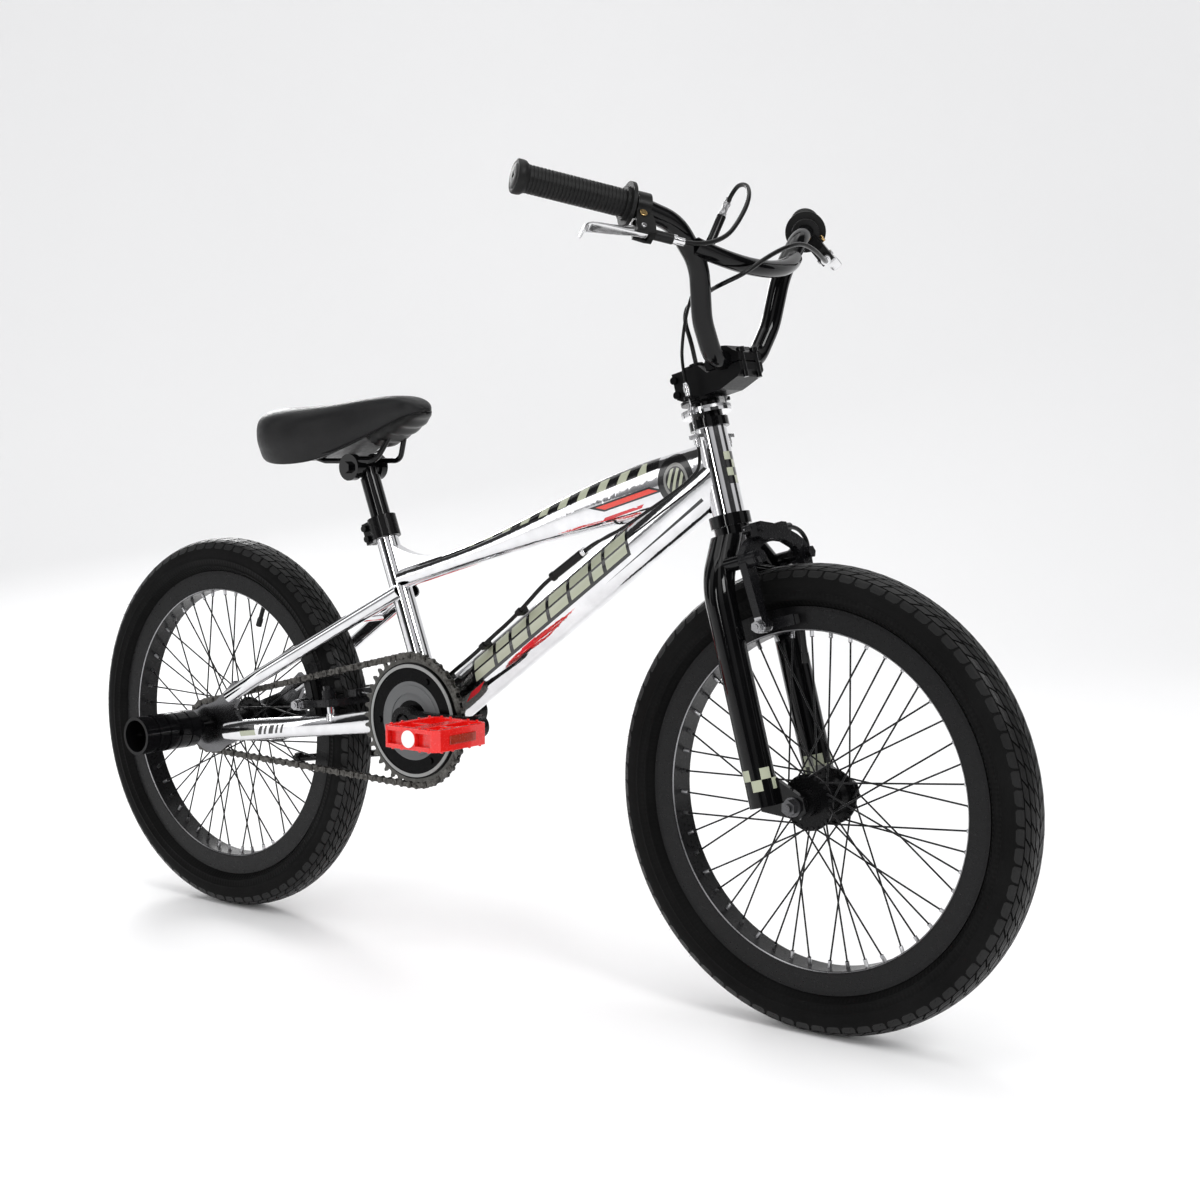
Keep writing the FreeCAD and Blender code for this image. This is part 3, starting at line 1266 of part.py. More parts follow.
def hub_angle(k):
    """Three-cross lacing: each spoke leaves its flange 45 degrees ahead of or behind its nipple."""
    turn = 1 if (k // 2) % 2 == 0 else -1
    return spoke_angle(k) + turn * math.radians(45)


def bearings(centre, places, r_in):
    solids = []
    for y in places:
        solids.append(ring(centre + Y_AXIS * (y - 4.5), centre + Y_AXIS * (y + 4.5), 12.0, r_in + FIT))
    return solids


def nipple(aim, pull):
    """A nipple turned in one piece round the spoke's end, with a closed head inside the rim."""
    across = pull.cross(Y_AXIS).normalize()
    profile = []
    for along, r in ((-9, SPOKE_R), (-9, NIPPLE_R), (2, NIPPLE_R), (2, NIPPLE_R + 0.9),
                     (4.5, NIPPLE_R + 0.9), (4.5, 0), (3, 0), (3, SPOKE_R), (-9, SPOKE_R)):
        profile.append(aim + pull * along + across * r)
    return Part.Face(Part.makePolygon(profile)).revolve(aim, pull, 360)


def spokes(centre, flanges):
    right, left = flanges
    solids = []
    for k in range(SPOKES):
        y = left if k % 2 == 0 else right
        away = 1 if y > 0 else -1
        outside = 1 if (k // 2) % 2 == 0 else -1
        start = centre + radial(hub_angle(k)) * HUB_HOLE_R + Y_AXIS * (y + away * outside * 3.0)
        headed = start - Y_AXIS * (away * outside * 4.5)
        out = radial(spoke_angle(k))
        aim = centre + out * (RIM_INNER + 1)
        pull = (aim - start).normalize()
        wire = joined([
            rod(start, aim + pull * 3, SPOKE_R), Part.makeSphere(SPOKE_R, start),
            rod(headed, start, SPOKE_R),
            rod(headed, headed - Y_AXIS * (away * outside * 0.8), SPOKE_R + 0.9),
        ])
        solids.append(wire)
        solids.append(nipple(aim, pull))
    return group(solids)


FRONT_FLANGES = (-24.0, 24.0)
REAR_FLANGES = (-24.5, 32.0)
FRONT_VALVE = math.radians(97.5)
REAR_VALVE = math.radians(67.5)


# Drive ----------------------------------------------------------------------------------
ROLLER_R = 3.85
PIN_R = 1.8
CRANK_RIGHT_IN = 50.0
CRANK_LEFT_IN = 56.0
PEDAL_AXLE_R = 5.95
CRANK_BOLT_PHASE = 63.0
PEDAL_THREAD_R = 7.1
PEDAL_IN = 100.0
PEDAL_OUT = 171.0
PEDAL_LONG = 90.0
PEDAL_THICK = 24.0


def pitch_radius(teeth):
    return CHAIN_PITCH / (2 * math.sin(math.pi / teeth))


def chain_path():
    """Points of the closed pitch line as a function of distance along it."""
    big, small = pitch_radius(RING_TEETH), pitch_radius(SPROCKET_TEETH)
    centre_a = V(BB.x, CHAIN_LINE, BB.z)
    centre_b = V(REAR_AXLE.x, CHAIN_LINE, REAR_AXLE.z)
    line = (centre_b - centre_a).normalize()
    up = V(-line.z, 0, line.x)
    if up.z < 0:
        up = up * -1
    gap = (centre_b - centre_a).Length
    tilt = math.asin((big - small) / gap)
    straight = gap * math.cos(tilt)
    arc_a = big * (math.pi + 2 * tilt)
    arc_b = small * (math.pi - 2 * tilt)

    def place(distance):
        total = 2 * straight + arc_a + arc_b
        d = distance % total
        first = math.pi / 2 - tilt
        if d < straight:
            normal = line * math.sin(tilt) + up * math.cos(tilt)
            along = line * math.cos(tilt) - up * math.sin(tilt)
            return centre_a + normal * big + along * d
        d -= straight
        if d < arc_b:
            angle = first - d / small
            return centre_b + (line * math.cos(angle) + up * math.sin(angle)) * small
        d -= arc_b
        if d < straight:
            normal = line * math.sin(tilt) - up * math.cos(tilt)
            along = line * -math.cos(tilt) - up * math.sin(tilt)
            return centre_b + normal * small + along * d
        d -= straight
        angle = -(first) - d / big
        return centre_a + (line * math.cos(angle) + up * math.sin(angle)) * big

    return place, 2 * straight + arc_a + arc_b


def chain_pins():
    """Pin centres, each exactly one pitch from the last."""
    place, total = chain_path()
    distance = 0.0
    pins = [place(0)]
    for _ in range(CHAIN_LINKS - 1):
        low, high = distance, distance + CHAIN_PITCH * 1.2
        for _ in range(50):
            middle = (low + high) / 2
            if (place(middle) - pins[-1]).Length < CHAIN_PITCH:
                low = middle
            else:
                high = middle
        distance = low
        pins.append(place(distance))
    print("chain closing gap", round((pins[0] - pins[-1]).Length - CHAIN_PITCH, 3))
    return pins


PINS = chain_pins()


def link_plate(y_low, y_high, hole):
    """A figure-of-eight plate between two pins, the first at the origin and the second on x."""
    plate = joined([
        rod(V(0, y_low, 0), V(0, y_high, 0), 4.3),
        rod(V(CHAIN_PITCH, y_low, 0), V(CHAIN_PITCH, y_high, 0), 4.3),
        box(V(0, y_low, -2.9), V(CHAIN_PITCH, y_high, 2.9)),
    ])
    tools = []
    for x in (0, CHAIN_PITCH):
        tools.append(rod(V(x, -9, 0), V(x, 9, 0), hole))
    return without(plate, tools)


def drive_chain():
    """Inner links carry the rollers; outer links carry the pins."""
    bore = PIN_R + 0.1
    inner = [link_plate(-2.75, -1.75, bore), link_plate(1.75, 2.75, bore)]
    for x in (0, CHAIN_PITCH):
        inner.append(ring(V(x, -1.75, 0), V(x, 1.75, 0), ROLLER_R, bore))
    inner = joined(inner)
    outer = [link_plate(-3.85, -2.85, 1.0), link_plate(2.85, 3.85, 1.0)]
    for x in (0, CHAIN_PITCH):
        outer.append(rod(V(x, -4.3, 0), V(x, 4.3, 0), PIN_R))
    outer = joined(outer)
    links = []
    for k, pin in enumerate(PINS):
        following = PINS[(k + 1) % CHAIN_LINKS]
        link = (inner if k % 2 == 0 else outer).copy()
        link.Placement = FreeCAD.Placement(pin, Rotation(X_AXIS, following - pin))
        links.append(link)
    return group(links)


def wheel_teeth(centre, teeth, tip_r):
    """A toothed disc whose gullets fit the rollers that sit on it."""
    pitch_r = pitch_radius(teeth)
    seat = min(PINS, key=lambda p: abs((V(p.x, 0, p.z) - V(centre.x, 0, centre.z)).Length - pitch_r)
               + (0 if (p.x - centre.x) * (BB.x - REAR_AXLE.x) * (1 if teeth > 30 else -1) > 0 else 99))
    phase = math.atan2(seat.z - centre.z, seat.x - centre.x)
    step = 2 * math.pi / teeth
    corners = []
    half_tip = 0.9 / tip_r
    root = pitch_r - ROLLER_R - 0.2
    for k in range(teeth):
        a = phase + step * k
        for angle, r in ((0, root), (step / 2 - half_tip, tip_r), (step / 2 + half_tip, tip_r)):
            corners.append(centre + radial(a + angle) * r)
    low = Y_AXIS * (CHAIN_LINE - 1.5)
    points = [V(c.x, 0, c.z) + low for c in corners]
    disc = Part.Face(Part.makePolygon(points + points[:1])).extrude(Y_AXIS * 3)
    tools = []
    for k in range(teeth):
        c = centre + radial(phase + step * k) * pitch_r
        c = V(c.x, 0, c.z)
        tools.append(rod(c + Y_AXIS * (CHAIN_LINE - 4), c + Y_AXIS * (CHAIN_LINE + 4), ROLLER_R + 0.1))
    for pin in PINS:
        if math.hypot(pin.x - centre.x, pin.z - centre.z) < pitch_r + 9:
            tools.append(rod(pin - Y_AXIS * 4, pin + Y_AXIS * 4, ROLLER_R + 0.05))
    return without(disc, tools)


def rear_sprocket():
    """The freewheel: a toothed plate on a body that turns on the hub's thread."""
    centre = REAR_AXLE
    plate = wheel_teeth(centre, SPROCKET_TEETH, 36.5)
    body = rod(centre - Y_AXIS * 32, centre - Y_AXIS * 50, 19.0)
    shape = joined([plate, body])
    tools = [
        rod(centre - Y_AXIS * 30, centre - Y_AXIS * 42, 17.0 + FIT),
        rod(centre - Y_AXIS * 40, centre - Y_AXIS * 60, 10.2),
    ]
    for k in range(4):
        out = radial(math.pi / 2 * k)
        notch = centre + out * 14 - Y_AXIS * 47
        tools.append(rod(notch, notch - Y_AXIS * 6, 2.2))
    return without(shape, tools)


def chainring():
    """The toothed ring and, on its outer face, a plain guard disc with a raised rim."""
    centre = BB
    ring_plate = wheel_teeth(centre, RING_TEETH, 84.3)
    disc = rod(centre + Y_AXIS * (CHAIN_LINE - 1.5), centre + Y_AXIS * (CHAIN_LINE - 3.5), 72.0)
    outer_band = ring(centre + Y_AXIS * (CHAIN_LINE - 3.5), centre + Y_AXIS * (CHAIN_LINE - 4.5), 70, 66)
    inner_band = ring(centre + Y_AXIS * (CHAIN_LINE - 3.5), centre + Y_AXIS * (CHAIN_LINE - 4.5), 44, 34)
    hole = rod(centre - Y_AXIS * 90, centre, 12.0)
    solids = [ring_plate.cut(hole), joined([disc, outer_band, inner_band]).cut(hole)]
    for k in range(3):
        out = radial(math.radians(CRANK_BOLT_PHASE + 120 * k))
        place = centre + out * 56
        bolt = rod(place + Y_AXIS * (CHAIN_LINE + 3.5), place + Y_AXIS * (CHAIN_LINE - 5.5), 4.0)
        solids = [s.cut(bolt) for s in solids] + [bolt]
    return group(solids)


def crank_arm(side):
    """An arm that leaves the spindle and angles out to the pedal."""
    start_in = CRANK_RIGHT_IN if side < 0 else CRANK_LEFT_IN
    end_in = 66.0 if side < 0 else 68.0
    direction = CRANK_DIR if side < 0 else CRANK_DIR * -1
    end = BB + direction * CRANK_LENGTH
    depth = 13.5
    boss = rod(BB + Y_AXIS * (side * start_in), BB + Y_AXIS * (side * (start_in + 15)), 19.0)
    eye = rod(end + Y_AXIS * (side * end_in), end + Y_AXIS * (side * (end_in + depth)), 13.5)
    across = direction.cross(Y_AXIS).normalize()

    def section(distance, y, half):
        c = BB + direction * distance + Y_AXIS * (side * (y + depth / 2))
        corners = []
        for u, v in ((-1, -0.7), (-0.7, -1), (0.7, -1), (1, -0.7), (1, 0.7), (0.7, 1), (-0.7, 1),
                     (-1, 0.7), (-1, -0.7)):
            corners.append(c + across * (u * half) + Y_AXIS * (v * depth / 2))
        return Part.makePolygon(corners)

    stations = [
        section(8, start_in + 0.7, 14.5), section(45, start_in + 4, 11.8),
        section(95, end_in - 3, 11.0), section(CRANK_LENGTH - 4, end_in, 10.8),
    ]
    arm = Part.makeLoft(stations, True, True)
    return joined([boss, arm, eye])


def pedal_place(side):
    direction = CRANK_DIR if side < 0 else CRANK_DIR * -1
    return BB + direction * CRANK_LENGTH


def crank_arms():
    """Both arms on one spindle, with their end bolts."""
    spindle = joined([
        rod(BB - Y_AXIS * 50, BB + Y_AXIS * 56, SPINDLE_R),
        rod(BB - Y_AXIS * 60, BB - Y_AXIS * 50, SPINDLE_R),
        rod(BB + Y_AXIS * 56, BB + Y_AXIS * 66, SPINDLE_R),
        rod(BB - Y_AXIS * 40.5, BB - Y_AXIS * 50, 12.0),
        rod(BB + Y_AXIS * 40.5, BB + Y_AXIS * 56, 12.0),
    ])
    solids = [spindle]
    for side in (-1, 1):
        end = pedal_place(side)
        hole = rod(end + Y_AXIS * (side * 50), end + Y_AXIS * (side * 100), PEDAL_THREAD_R)
        recess_in = CRANK_RIGHT_IN if side < 0 else CRANK_LEFT_IN
        recess = rod(BB + Y_AXIS * (side * (recess_in + 10)), BB + Y_AXIS * (side * (recess_in + 20)), 11.0)
        bolt_in = BB + Y_AXIS * (side * (recess_in + 10))
        bolt = hexagon(bolt_in, bolt_in + Y_AXIS * (side * 4), 8.5)
        solids.append(without(crank_arm(side), [spindle, hole, recess]))
        solids.append(bolt)
    return group(solids)


def pedal_axles():
    """The pedals' axles: thread in the arm, a hexagonal shoulder and the bearing length."""
    solids = []
    for side in (-1, 1):
        end = pedal_place(side)
        eye_in = 66.0 if side < 0 else 68.0
        solids.append(joined([
            rod(end + Y_AXIS * (side * eye_in), end + Y_AXIS * (side * (eye_in + 20)), PEDAL_THREAD_R),
            hexagon(end + Y_AXIS * (side * (eye_in + 13.5)), end + Y_AXIS * (side * (eye_in + 20)), 9.5),
            rod(end + Y_AXIS * (side * (eye_in + 20)), end + Y_AXIS * (side * (PEDAL_IN - 1)), 8.5),
            rod(end + Y_AXIS * (side * 90), end + Y_AXIS * (side * 168), PEDAL_AXLE_R),
        ]))
    return group(solids)


def pedal(side):
    """A platform with chamfered corners, windows, studs, end cap and reflectors."""
    centre = pedal_place(side)
    half_long, half_thick, cut = PEDAL_LONG / 2, PEDAL_THICK / 2, 14.0
    y_in, y_out = PEDAL_IN, PEDAL_OUT
    outline = [
        (-half_long + cut, y_in), (half_long - cut, y_in), (half_long, y_in + cut),
        (half_long, y_out - cut), (half_long - cut, y_out), (-half_long + cut, y_out),
        (-half_long, y_out - cut), (-half_long, y_in + cut), (-half_long + cut, y_in),
    ]
    points = [V(centre.x + x, side * y, centre.z - half_thick) for x, y in outline]
    body = Part.Face(Part.makePolygon(points)).extrude(Z_AXIS * PEDAL_THICK)
    tools = []
    for x_low, x_high in ((-38, -12), (12, 38)):
        for y_low, y_high in ((108, 132), (139, 163)):
            lo, hi = sorted((side * y_low, side * y_high))
            low_corner = V(centre.x + x_low, lo, centre.z - 20)
            tools.append(box(low_corner, V(centre.x + x_high, hi, centre.z + 20)))
    inner_end, outer_end = V(centre.x, side * 95, centre.z), V(centre.x, side * 169, centre.z)
    tools.append(rod(inner_end, outer_end, PEDAL_AXLE_R + FIT))
    body = without(body, tools)
    studs = []
    for z, up in ((centre.z + half_thick, 1), (centre.z - half_thick, -1)):
        for x in (-41.5, -8, 8, 41.5):
            for y in (118, 135.5, 153):
                foot = V(centre.x + x, side * y, z - up * 0.5)
                studs.append(rod(foot, foot + Z_AXIS * (up * 2.5), 1.8))
    body = joined([body] + studs)
    cap = rod(V(centre.x, side * y_out, centre.z), V(centre.x, side * (y_out + 2), centre.z), 7.0)
    solids = [body, cap]
    for end in (-1, 1):
        x = sorted((centre.x + end * half_long, centre.x + end * (half_long + 2)))
        y = sorted((side * (y_in + 15.5), side * (y_out - 15.5)))
        solids.append(box(V(x[0], y[0], centre.z - 5), V(x[1], y[1], centre.z + 5)))
    return group(solids)


# Seat -----------------------------------------------------------------------------------
RAIL_R = 3.5
RAIL_Y = 22.0
CLAMP = at(262, 0, 606)


def clamp_bolt():
    """The cross bolt that squeezes both cheeks."""
    return joined([
        rod(CLAMP - Y_AXIS * 32, CLAMP + Y_AXIS * 32, 4.0),
        hexagon(CLAMP + Y_AXIS * 27, CLAMP + Y_AXIS * 33, 7.5),
        hexagon(CLAMP - Y_AXIS * 33, CLAMP - Y_AXIS * 27, 7.5),
    ])


def seat_post():
    """The post with the barrel that both clamp cheeks turn on."""
    post = joined([
        rod(along_seat(180), along_seat(318), SEAT_POST_R),
        rod(along_seat(310), along_seat(330), 11.0),
        rod(CLAMP - Y_AXIS * 17, CLAMP + Y_AXIS * 17, 14.0),
    ])
    return post.cut(rod(CLAMP - Y_AXIS * 30, CLAMP + Y_AXIS * 30, 4.0 + FIT))


RAIL_UP = 8.0
SADDLE_SECTIONS = [                 # along the wheelbase, half width, top, bottom
    (113, 34, 664, 642), (128, 60, 678, 617), (160, 74, 684, 611), (200, 70, 685, 615),
    (250, 45, 690, 633), (300, 28, 694, 646), (340, 24, 694, 655), (366, 13, 686, 668),
]


def saddle_wires(inset, drop):
    """Flat-bottomed arches, one for each section."""
    wires = []
    for x, half, top, bottom in SADDLE_SECTIONS:
        w = half - inset
        high = top - inset
        low = bottom - drop
        points = [
            at(x, -w, low), at(x, -w, (low + high) / 2 - 1), at(x, -w * 0.82, high - (high - low) * 0.18),
            at(x, -w * 0.45, high - 1.5), at(x, 0, high - 2.5), at(x, w * 0.45, high - 1.5),
            at(x, w * 0.82, high - (high - low) * 0.18), at(x, w, (low + high) / 2 - 1), at(x, w, low),
        ]
        curve = Part.BSplineCurve()
        curve.interpolate(points)
        wires.append(Part.Wire([curve.toShape(), Part.LineSegment(points[-1], points[0]).toShape()]))
    return wires


def saddle_cover():
    """The padded cover, an arch from nose to tail, closed below by the base shell."""
    outer = Part.makeLoft(saddle_wires(0, 0), True, False)
    return outer.cut(saddle_hollow())


def saddle_hollow():
    inner = []
    for x, half, top, bottom in SADDLE_SECTIONS[1:-1]:
        w = half - 9.0
        corners = [
            at(x, -w, bottom - 20), at(x, -w, top - 20), at(x, -w * 0.6, top - 16),
            at(x, w * 0.6, top - 16),
            at(x, w, top - 20), at(x, w, bottom - 20), at(x, -w, bottom - 20),
        ]
        inner.append(Part.makePolygon(corners))
    return Part.makeLoft(inner, True, True)


def saddle_frame():
    """Two bent rails and the base shell inside the cover."""
    shell = []
    for x, half, top, bottom in SADDLE_SECTIONS[1:-1]:
        w = half - 9.0
        corners = [
            at(x, -w, top - 24), at(x, -w, top - 20), at(x, -w * 0.6, top - 16), at(x, w * 0.6, top - 16),
            at(x, w, top - 20), at(x, w, top - 24), at(x, w * 0.6, top - 20), at(x, -w * 0.6, top - 20),
            at(x, -w, top - 24),
        ]
        shell.append(Part.makePolygon(corners))
    base = Part.makeLoft(shell, True, True)
    line_z = CLAMP.z + RAIL_UP
    rails = []
    for side in (-1, 1):
        y = side * RAIL_Y
        points = [
            at(150, side * 30, 664), V(at(168, 0, 0).x, side * 25, line_z + 12), at(215, y, line_z),
            at(306, y, line_z), at(321, side * 14, 642), at(328, side * 9, 672),
        ]
        rails.append(bent_rod(points, [10.0, 20.0, 18.0, 14.0], RAIL_R))
    bolt = clamp_bolt()
    cheeks = []
    for side in (-1, 1):
        cheek = rod(CLAMP + Y_AXIS * (side * 17.05), CLAMP + Y_AXIS * (side * 27), 17.0)
        cheeks.append(without(cheek, rails + [bolt]))
    return group([without(base, rails)] + rails + cheeks + [bolt])


# Save every node ------------------------------------------------------------------------
def plates():
    return [dropout_plate(-1), dropout_plate(1)]


def main():
    front, rear = FRONT_AXLE, REAR_AXLE
    nodes = {
        "head_tube": head_tube,
        "top_tube": lambda: group([top_tube(), seat_gusset()]),
        "down_tube": down_tube,
        "seat_tube": seat_tube,
        "bb_shell": bb_shell,
        "chain_stays": lambda: chain_stays(plates()),
        "seat_stays": lambda: seat_stays(plates()),
        "rear_dropouts": lambda: group(plates()),
        "seat_collar": seat_collar,
        "headset_cups": headset_cups,
        "bb_cups": bb_cups,
        "rear_axle": rear_axle,
        "rear_pegs": lambda: group(both(rear_peg())),
        "drive_chain": drive_chain,
        "kickstand_bracket": kickstand_bracket,
        "gyro_stops": gyro_stops,
        "rear_brake_cables": rear_brake_cables,
        "cable_clips": cable_clips,
        "fork_steerer": fork_steerer,
        "fork_legs": lambda: group(fork_legs().Solids + fork_dropouts().Solids),
        "headset_bearings": headset_bearings,
        "stem_body": stem_body,
        "stem_cap": stem_cap,
        "stem_hardware": stem_bolts,
        "handlebar": handlebar,
        "grips": grips,
        "lever_brackets": lambda: group(both(lever_bracket())),
        "barrel_adjusters": barrel_adjusters,
        "gyro_upper_plate": gyro_upper_plate,
        "front_brake_cable": front_brake_cable,
        "gyro_upper_cables": gyro_upper_cables,
        "front_axle": front_axle,
        "front_tyre": lambda: tyre(front),
        "front_rim": lambda: rim(front, FRONT_VALVE),
        "front_spokes": lambda: spokes(front, FRONT_FLANGES),
        "front_hub": lambda: group(hub(front, FRONT_FLANGES, (-36, 36), 0).Solids
                                   + bearings(front, (-31, 31), FRONT_AXLE_R)),
        "front_inner_tube": lambda: inner_tube(front, FRONT_VALVE),
        "rear_tyre": lambda: tyre(rear),
        "rear_rim": lambda: rim(rear, REAR_VALVE),
        "rear_spokes": lambda: spokes(rear, REAR_FLANGES),
        "rear_hub": lambda: group(hub(rear, REAR_FLANGES, (-41, 41), 17.0).Solids
                                  + bearings(rear, (-35, 36), REAR_AXLE_R)),
        "rear_inner_tube": lambda: inner_tube(rear, REAR_VALVE),
        "rear_sprocket": rear_sprocket,
        "crank_arms": crank_arms,
        "chainring": chainring,
        "pedal_axles": pedal_axles,
        "pedal_right": lambda: pedal(-1),
        "pedal_left": lambda: pedal(1),
        "brake_lever_right": lambda: mirrored(brake_lever()),
        "brake_lever_left": brake_lever,
        "front_brake_arm_right": lambda: front_arm(-1),
        "front_brake_arm_left": lambda: front_arm(1),
        "rear_brake_arm_right": lambda: rear_arm(-1),
        "rear_brake_arm_left": lambda: rear_arm(1),
        "gyro_upper_ring": gyro_upper_ring,
        "gyro_lower_ring": gyro_lower_ring,
        "seat_post": seat_post,
        "saddle_frame": saddle_frame,
        "saddle_cover": saddle_cover,
        "kickstand_leg": kickstand_leg,
    }
    for node, make in nodes.items():
        save(node, make())


main()
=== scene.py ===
import math

import bpy
import bmesh
from mathutils import Matrix, Vector


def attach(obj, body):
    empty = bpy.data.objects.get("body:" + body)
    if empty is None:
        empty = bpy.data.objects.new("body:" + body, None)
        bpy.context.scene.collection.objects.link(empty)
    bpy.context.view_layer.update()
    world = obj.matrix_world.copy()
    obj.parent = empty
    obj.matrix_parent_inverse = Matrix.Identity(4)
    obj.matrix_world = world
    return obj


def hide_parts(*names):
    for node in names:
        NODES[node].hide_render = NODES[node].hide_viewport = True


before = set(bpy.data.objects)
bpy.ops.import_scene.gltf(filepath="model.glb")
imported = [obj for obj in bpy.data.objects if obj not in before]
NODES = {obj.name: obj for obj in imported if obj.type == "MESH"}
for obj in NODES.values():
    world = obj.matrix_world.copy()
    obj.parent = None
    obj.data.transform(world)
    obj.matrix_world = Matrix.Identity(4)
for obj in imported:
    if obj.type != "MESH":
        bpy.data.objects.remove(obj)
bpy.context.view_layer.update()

# The bike's own dimensions, in metres ----------------------------------------------------
MM = 0.001
HALF_BASE = 0.4735
TYRE_R = 0.254
LEAN = math.radians(15.0)
STEER_UP = Vector((-math.sin(LEAN), 0, math.cos(LEAN)))
STEER_FWD = Vector((math.cos(LEAN), 0, math.sin(LEAN)))
STEER_FOOT = Vector((HALF_BASE - 0.0367 / math.cos(LEAN), 0, TYRE_R))
REAR_AXLE = Vector((-HALF_BASE, 0, TYRE_R))
FRONT_AXLE = Vector((HALF_BASE, 0, TYRE_R))
BB = Vector((-0.085, 0, 0.295))
DOWN_SLOPE = math.radians(35.4)
ACROSS = Vector((0, 1, 0))
UP = Vector((0, 0, 1))


def at(x, y, z):
    """A point in millimetres from the rear axle's foot on the ground."""
    return Vector((x * MM - HALF_BASE, y * MM, z * MM))


def head(f, y, s):
    """A point in millimetres ahead of the steering axis, to the left and up the axis."""
    return STEER_FOOT + STEER_FWD * (f * MM) + STEER_UP * (s * MM) + Vector((0, y * MM, 0))


# Materials -------------------------------------------------------------------------------
class Shader:
    """A node material with short helpers for maths on positions."""

    def __init__(self, name):
        self.material = bpy.data.materials.new(name)
        self.material.use_nodes = True
        self.tree = self.material.node_tree
        self.nodes = self.tree.nodes
        self.bsdf = self.nodes["Principled BSDF"]
        self.coords = self.nodes.new("ShaderNodeTexCoord").outputs["Object"]

    def link(self, value, socket):
        if isinstance(value, (int, float)):
            socket.default_value = value
        elif isinstance(value, tuple):
            opaque = len(value) == 3 and socket.type != "VECTOR"
            socket.default_value = (*value, 1.0) if opaque else value
        elif isinstance(value, Vector):
            socket.default_value = tuple(value)
        else:
            self.tree.links.new(value, socket)

    def math(self, kind, a, b=0.0, c=0.0):
        node = self.nodes.new("ShaderNodeMath")
        node.operation = kind
        for value, socket in zip((a, b, c), node.inputs):
            self.link(value, socket)
        return node.outputs[0]

    def vector(self, kind, a, b=(0.0, 0.0, 0.0)):
        node = self.nodes.new("ShaderNodeVectorMath")
        node.operation = kind
        self.link(a, node.inputs[0])
        self.link(b, node.inputs[1])
        return node.outputs["Value"] if kind in ("DOT_PRODUCT", "LENGTH") else node.outputs["Vector"]

    def along(self, origin, direction):
        """Distance in millimetres from origin along direction."""
        offset = self.vector("SUBTRACT", self.coords, origin)
        return self.math("MULTIPLY", self.vector("DOT_PRODUCT", offset, direction), 1000.0)

    def aside(self, origin=Vector((0, 0, 0))):
        """Distance in millimetres to either side of origin's upright plane."""
        return self.math("ABSOLUTE", self.along(origin, ACROSS))

    def radius(self, centre):
        """Distance in millimetres from the crosswise line through centre."""
        flat = self.vector("MULTIPLY", self.vector("SUBTRACT", self.coords, centre), Vector((1, 0, 1)))
        return self.math("MULTIPLY", self.vector("LENGTH", flat), 1000.0)

    def between(self, value, low, high):
        """1 where the value lies between low and high, otherwise 0."""
        a = self.math("GREATER_THAN", value, low)
        b = self.math("LESS_THAN", value, high)
        return self.math("MULTIPLY", a, b)

    def both(self, a, b):
        return self.math("MULTIPLY", a, b)

    def either(self, a, b):
        return self.math("MAXIMUM", a, b)

    def noise(self, scale, detail=3.0, rough=0.5, stretch=None):
        node = self.nodes.new("ShaderNodeTexNoise")
        node.inputs["Scale"].default_value = scale
        node.inputs["Detail"].default_value = detail
        node.inputs["Roughness"].default_value = rough
        source = self.coords
        if stretch:
            source = self.vector("MULTIPLY", self.coords, Vector(stretch))
        self.link(source, node.inputs["Vector"])
        return node.outputs["Fac"]

    def cells(self, scale, feature="F1"):
        node = self.nodes.new("ShaderNodeTexVoronoi")
        node.feature = feature
        node.inputs["Scale"].default_value = scale
        self.link(self.coords, node.inputs["Vector"])
        return node.outputs["Distance"]

    def remap(self, value, a, b, c, d):
        node = self.nodes.new("ShaderNodeMapRange")
        for v, socket in zip((value, a, b, c, d), node.inputs):
            self.link(v, socket)
        return node.outputs[0]

    def fade(self, value, low, high, a, b):
        """Colour a where value is low, b where it is high."""
        return self.mix(self.remap(value, low, high, 0.0, 1.0), a, b)

    def squares(self, column, row):
        """1 on every second square of a board numbered by column and row."""
        return self.math("ABSOLUTE", self.math("MODULO", self.math("ADD", column, row), 2.0))

    def steps(self, value, size):
        """Number of whole steps of a size in value."""
        return self.math("FLOOR", self.math("DIVIDE", value, size))

    def mix(self, factor, a, b):
        node = self.nodes.new("ShaderNodeMix")
        node.data_type = "RGBA"
        self.link(factor, node.inputs["Factor"])
        self.link(a, node.inputs[6])
        self.link(b, node.inputs[7])
        return node.outputs[2]

    def set(self, name, value):
        self.link(value, self.bsdf.inputs[name])

    def bump(self, height, strength, distance=0.001):
        node = self.nodes.new("ShaderNodeBump")
        node.inputs["Strength"].default_value = strength
        node.inputs["Distance"].default_value = distance
        self.link(height, node.inputs["Height"])
        self.tree.links.new(node.outputs[0], self.bsdf.inputs["Normal"])


def metal(name, colour, rough, spread, scale, bump):
    """Bare or plated metal with uneven polish and a fine surface."""
    s = Shader(name)
    cloud = s.noise(scale, 4.0, 0.6)
    fine = s.noise(scale * 14, 2.0, 0.5)
    s.set("Base Color", s.fade(cloud, 0.3, 0.7, tuple(c * 0.82 for c in colour), colour))
    s.set("Metallic", 1.0)
    s.set("Roughness", s.remap(cloud, 0.3, 0.7, rough - spread / 2, rough + spread / 2))
    s.bump(fine, bump, 0.0004)
    return s


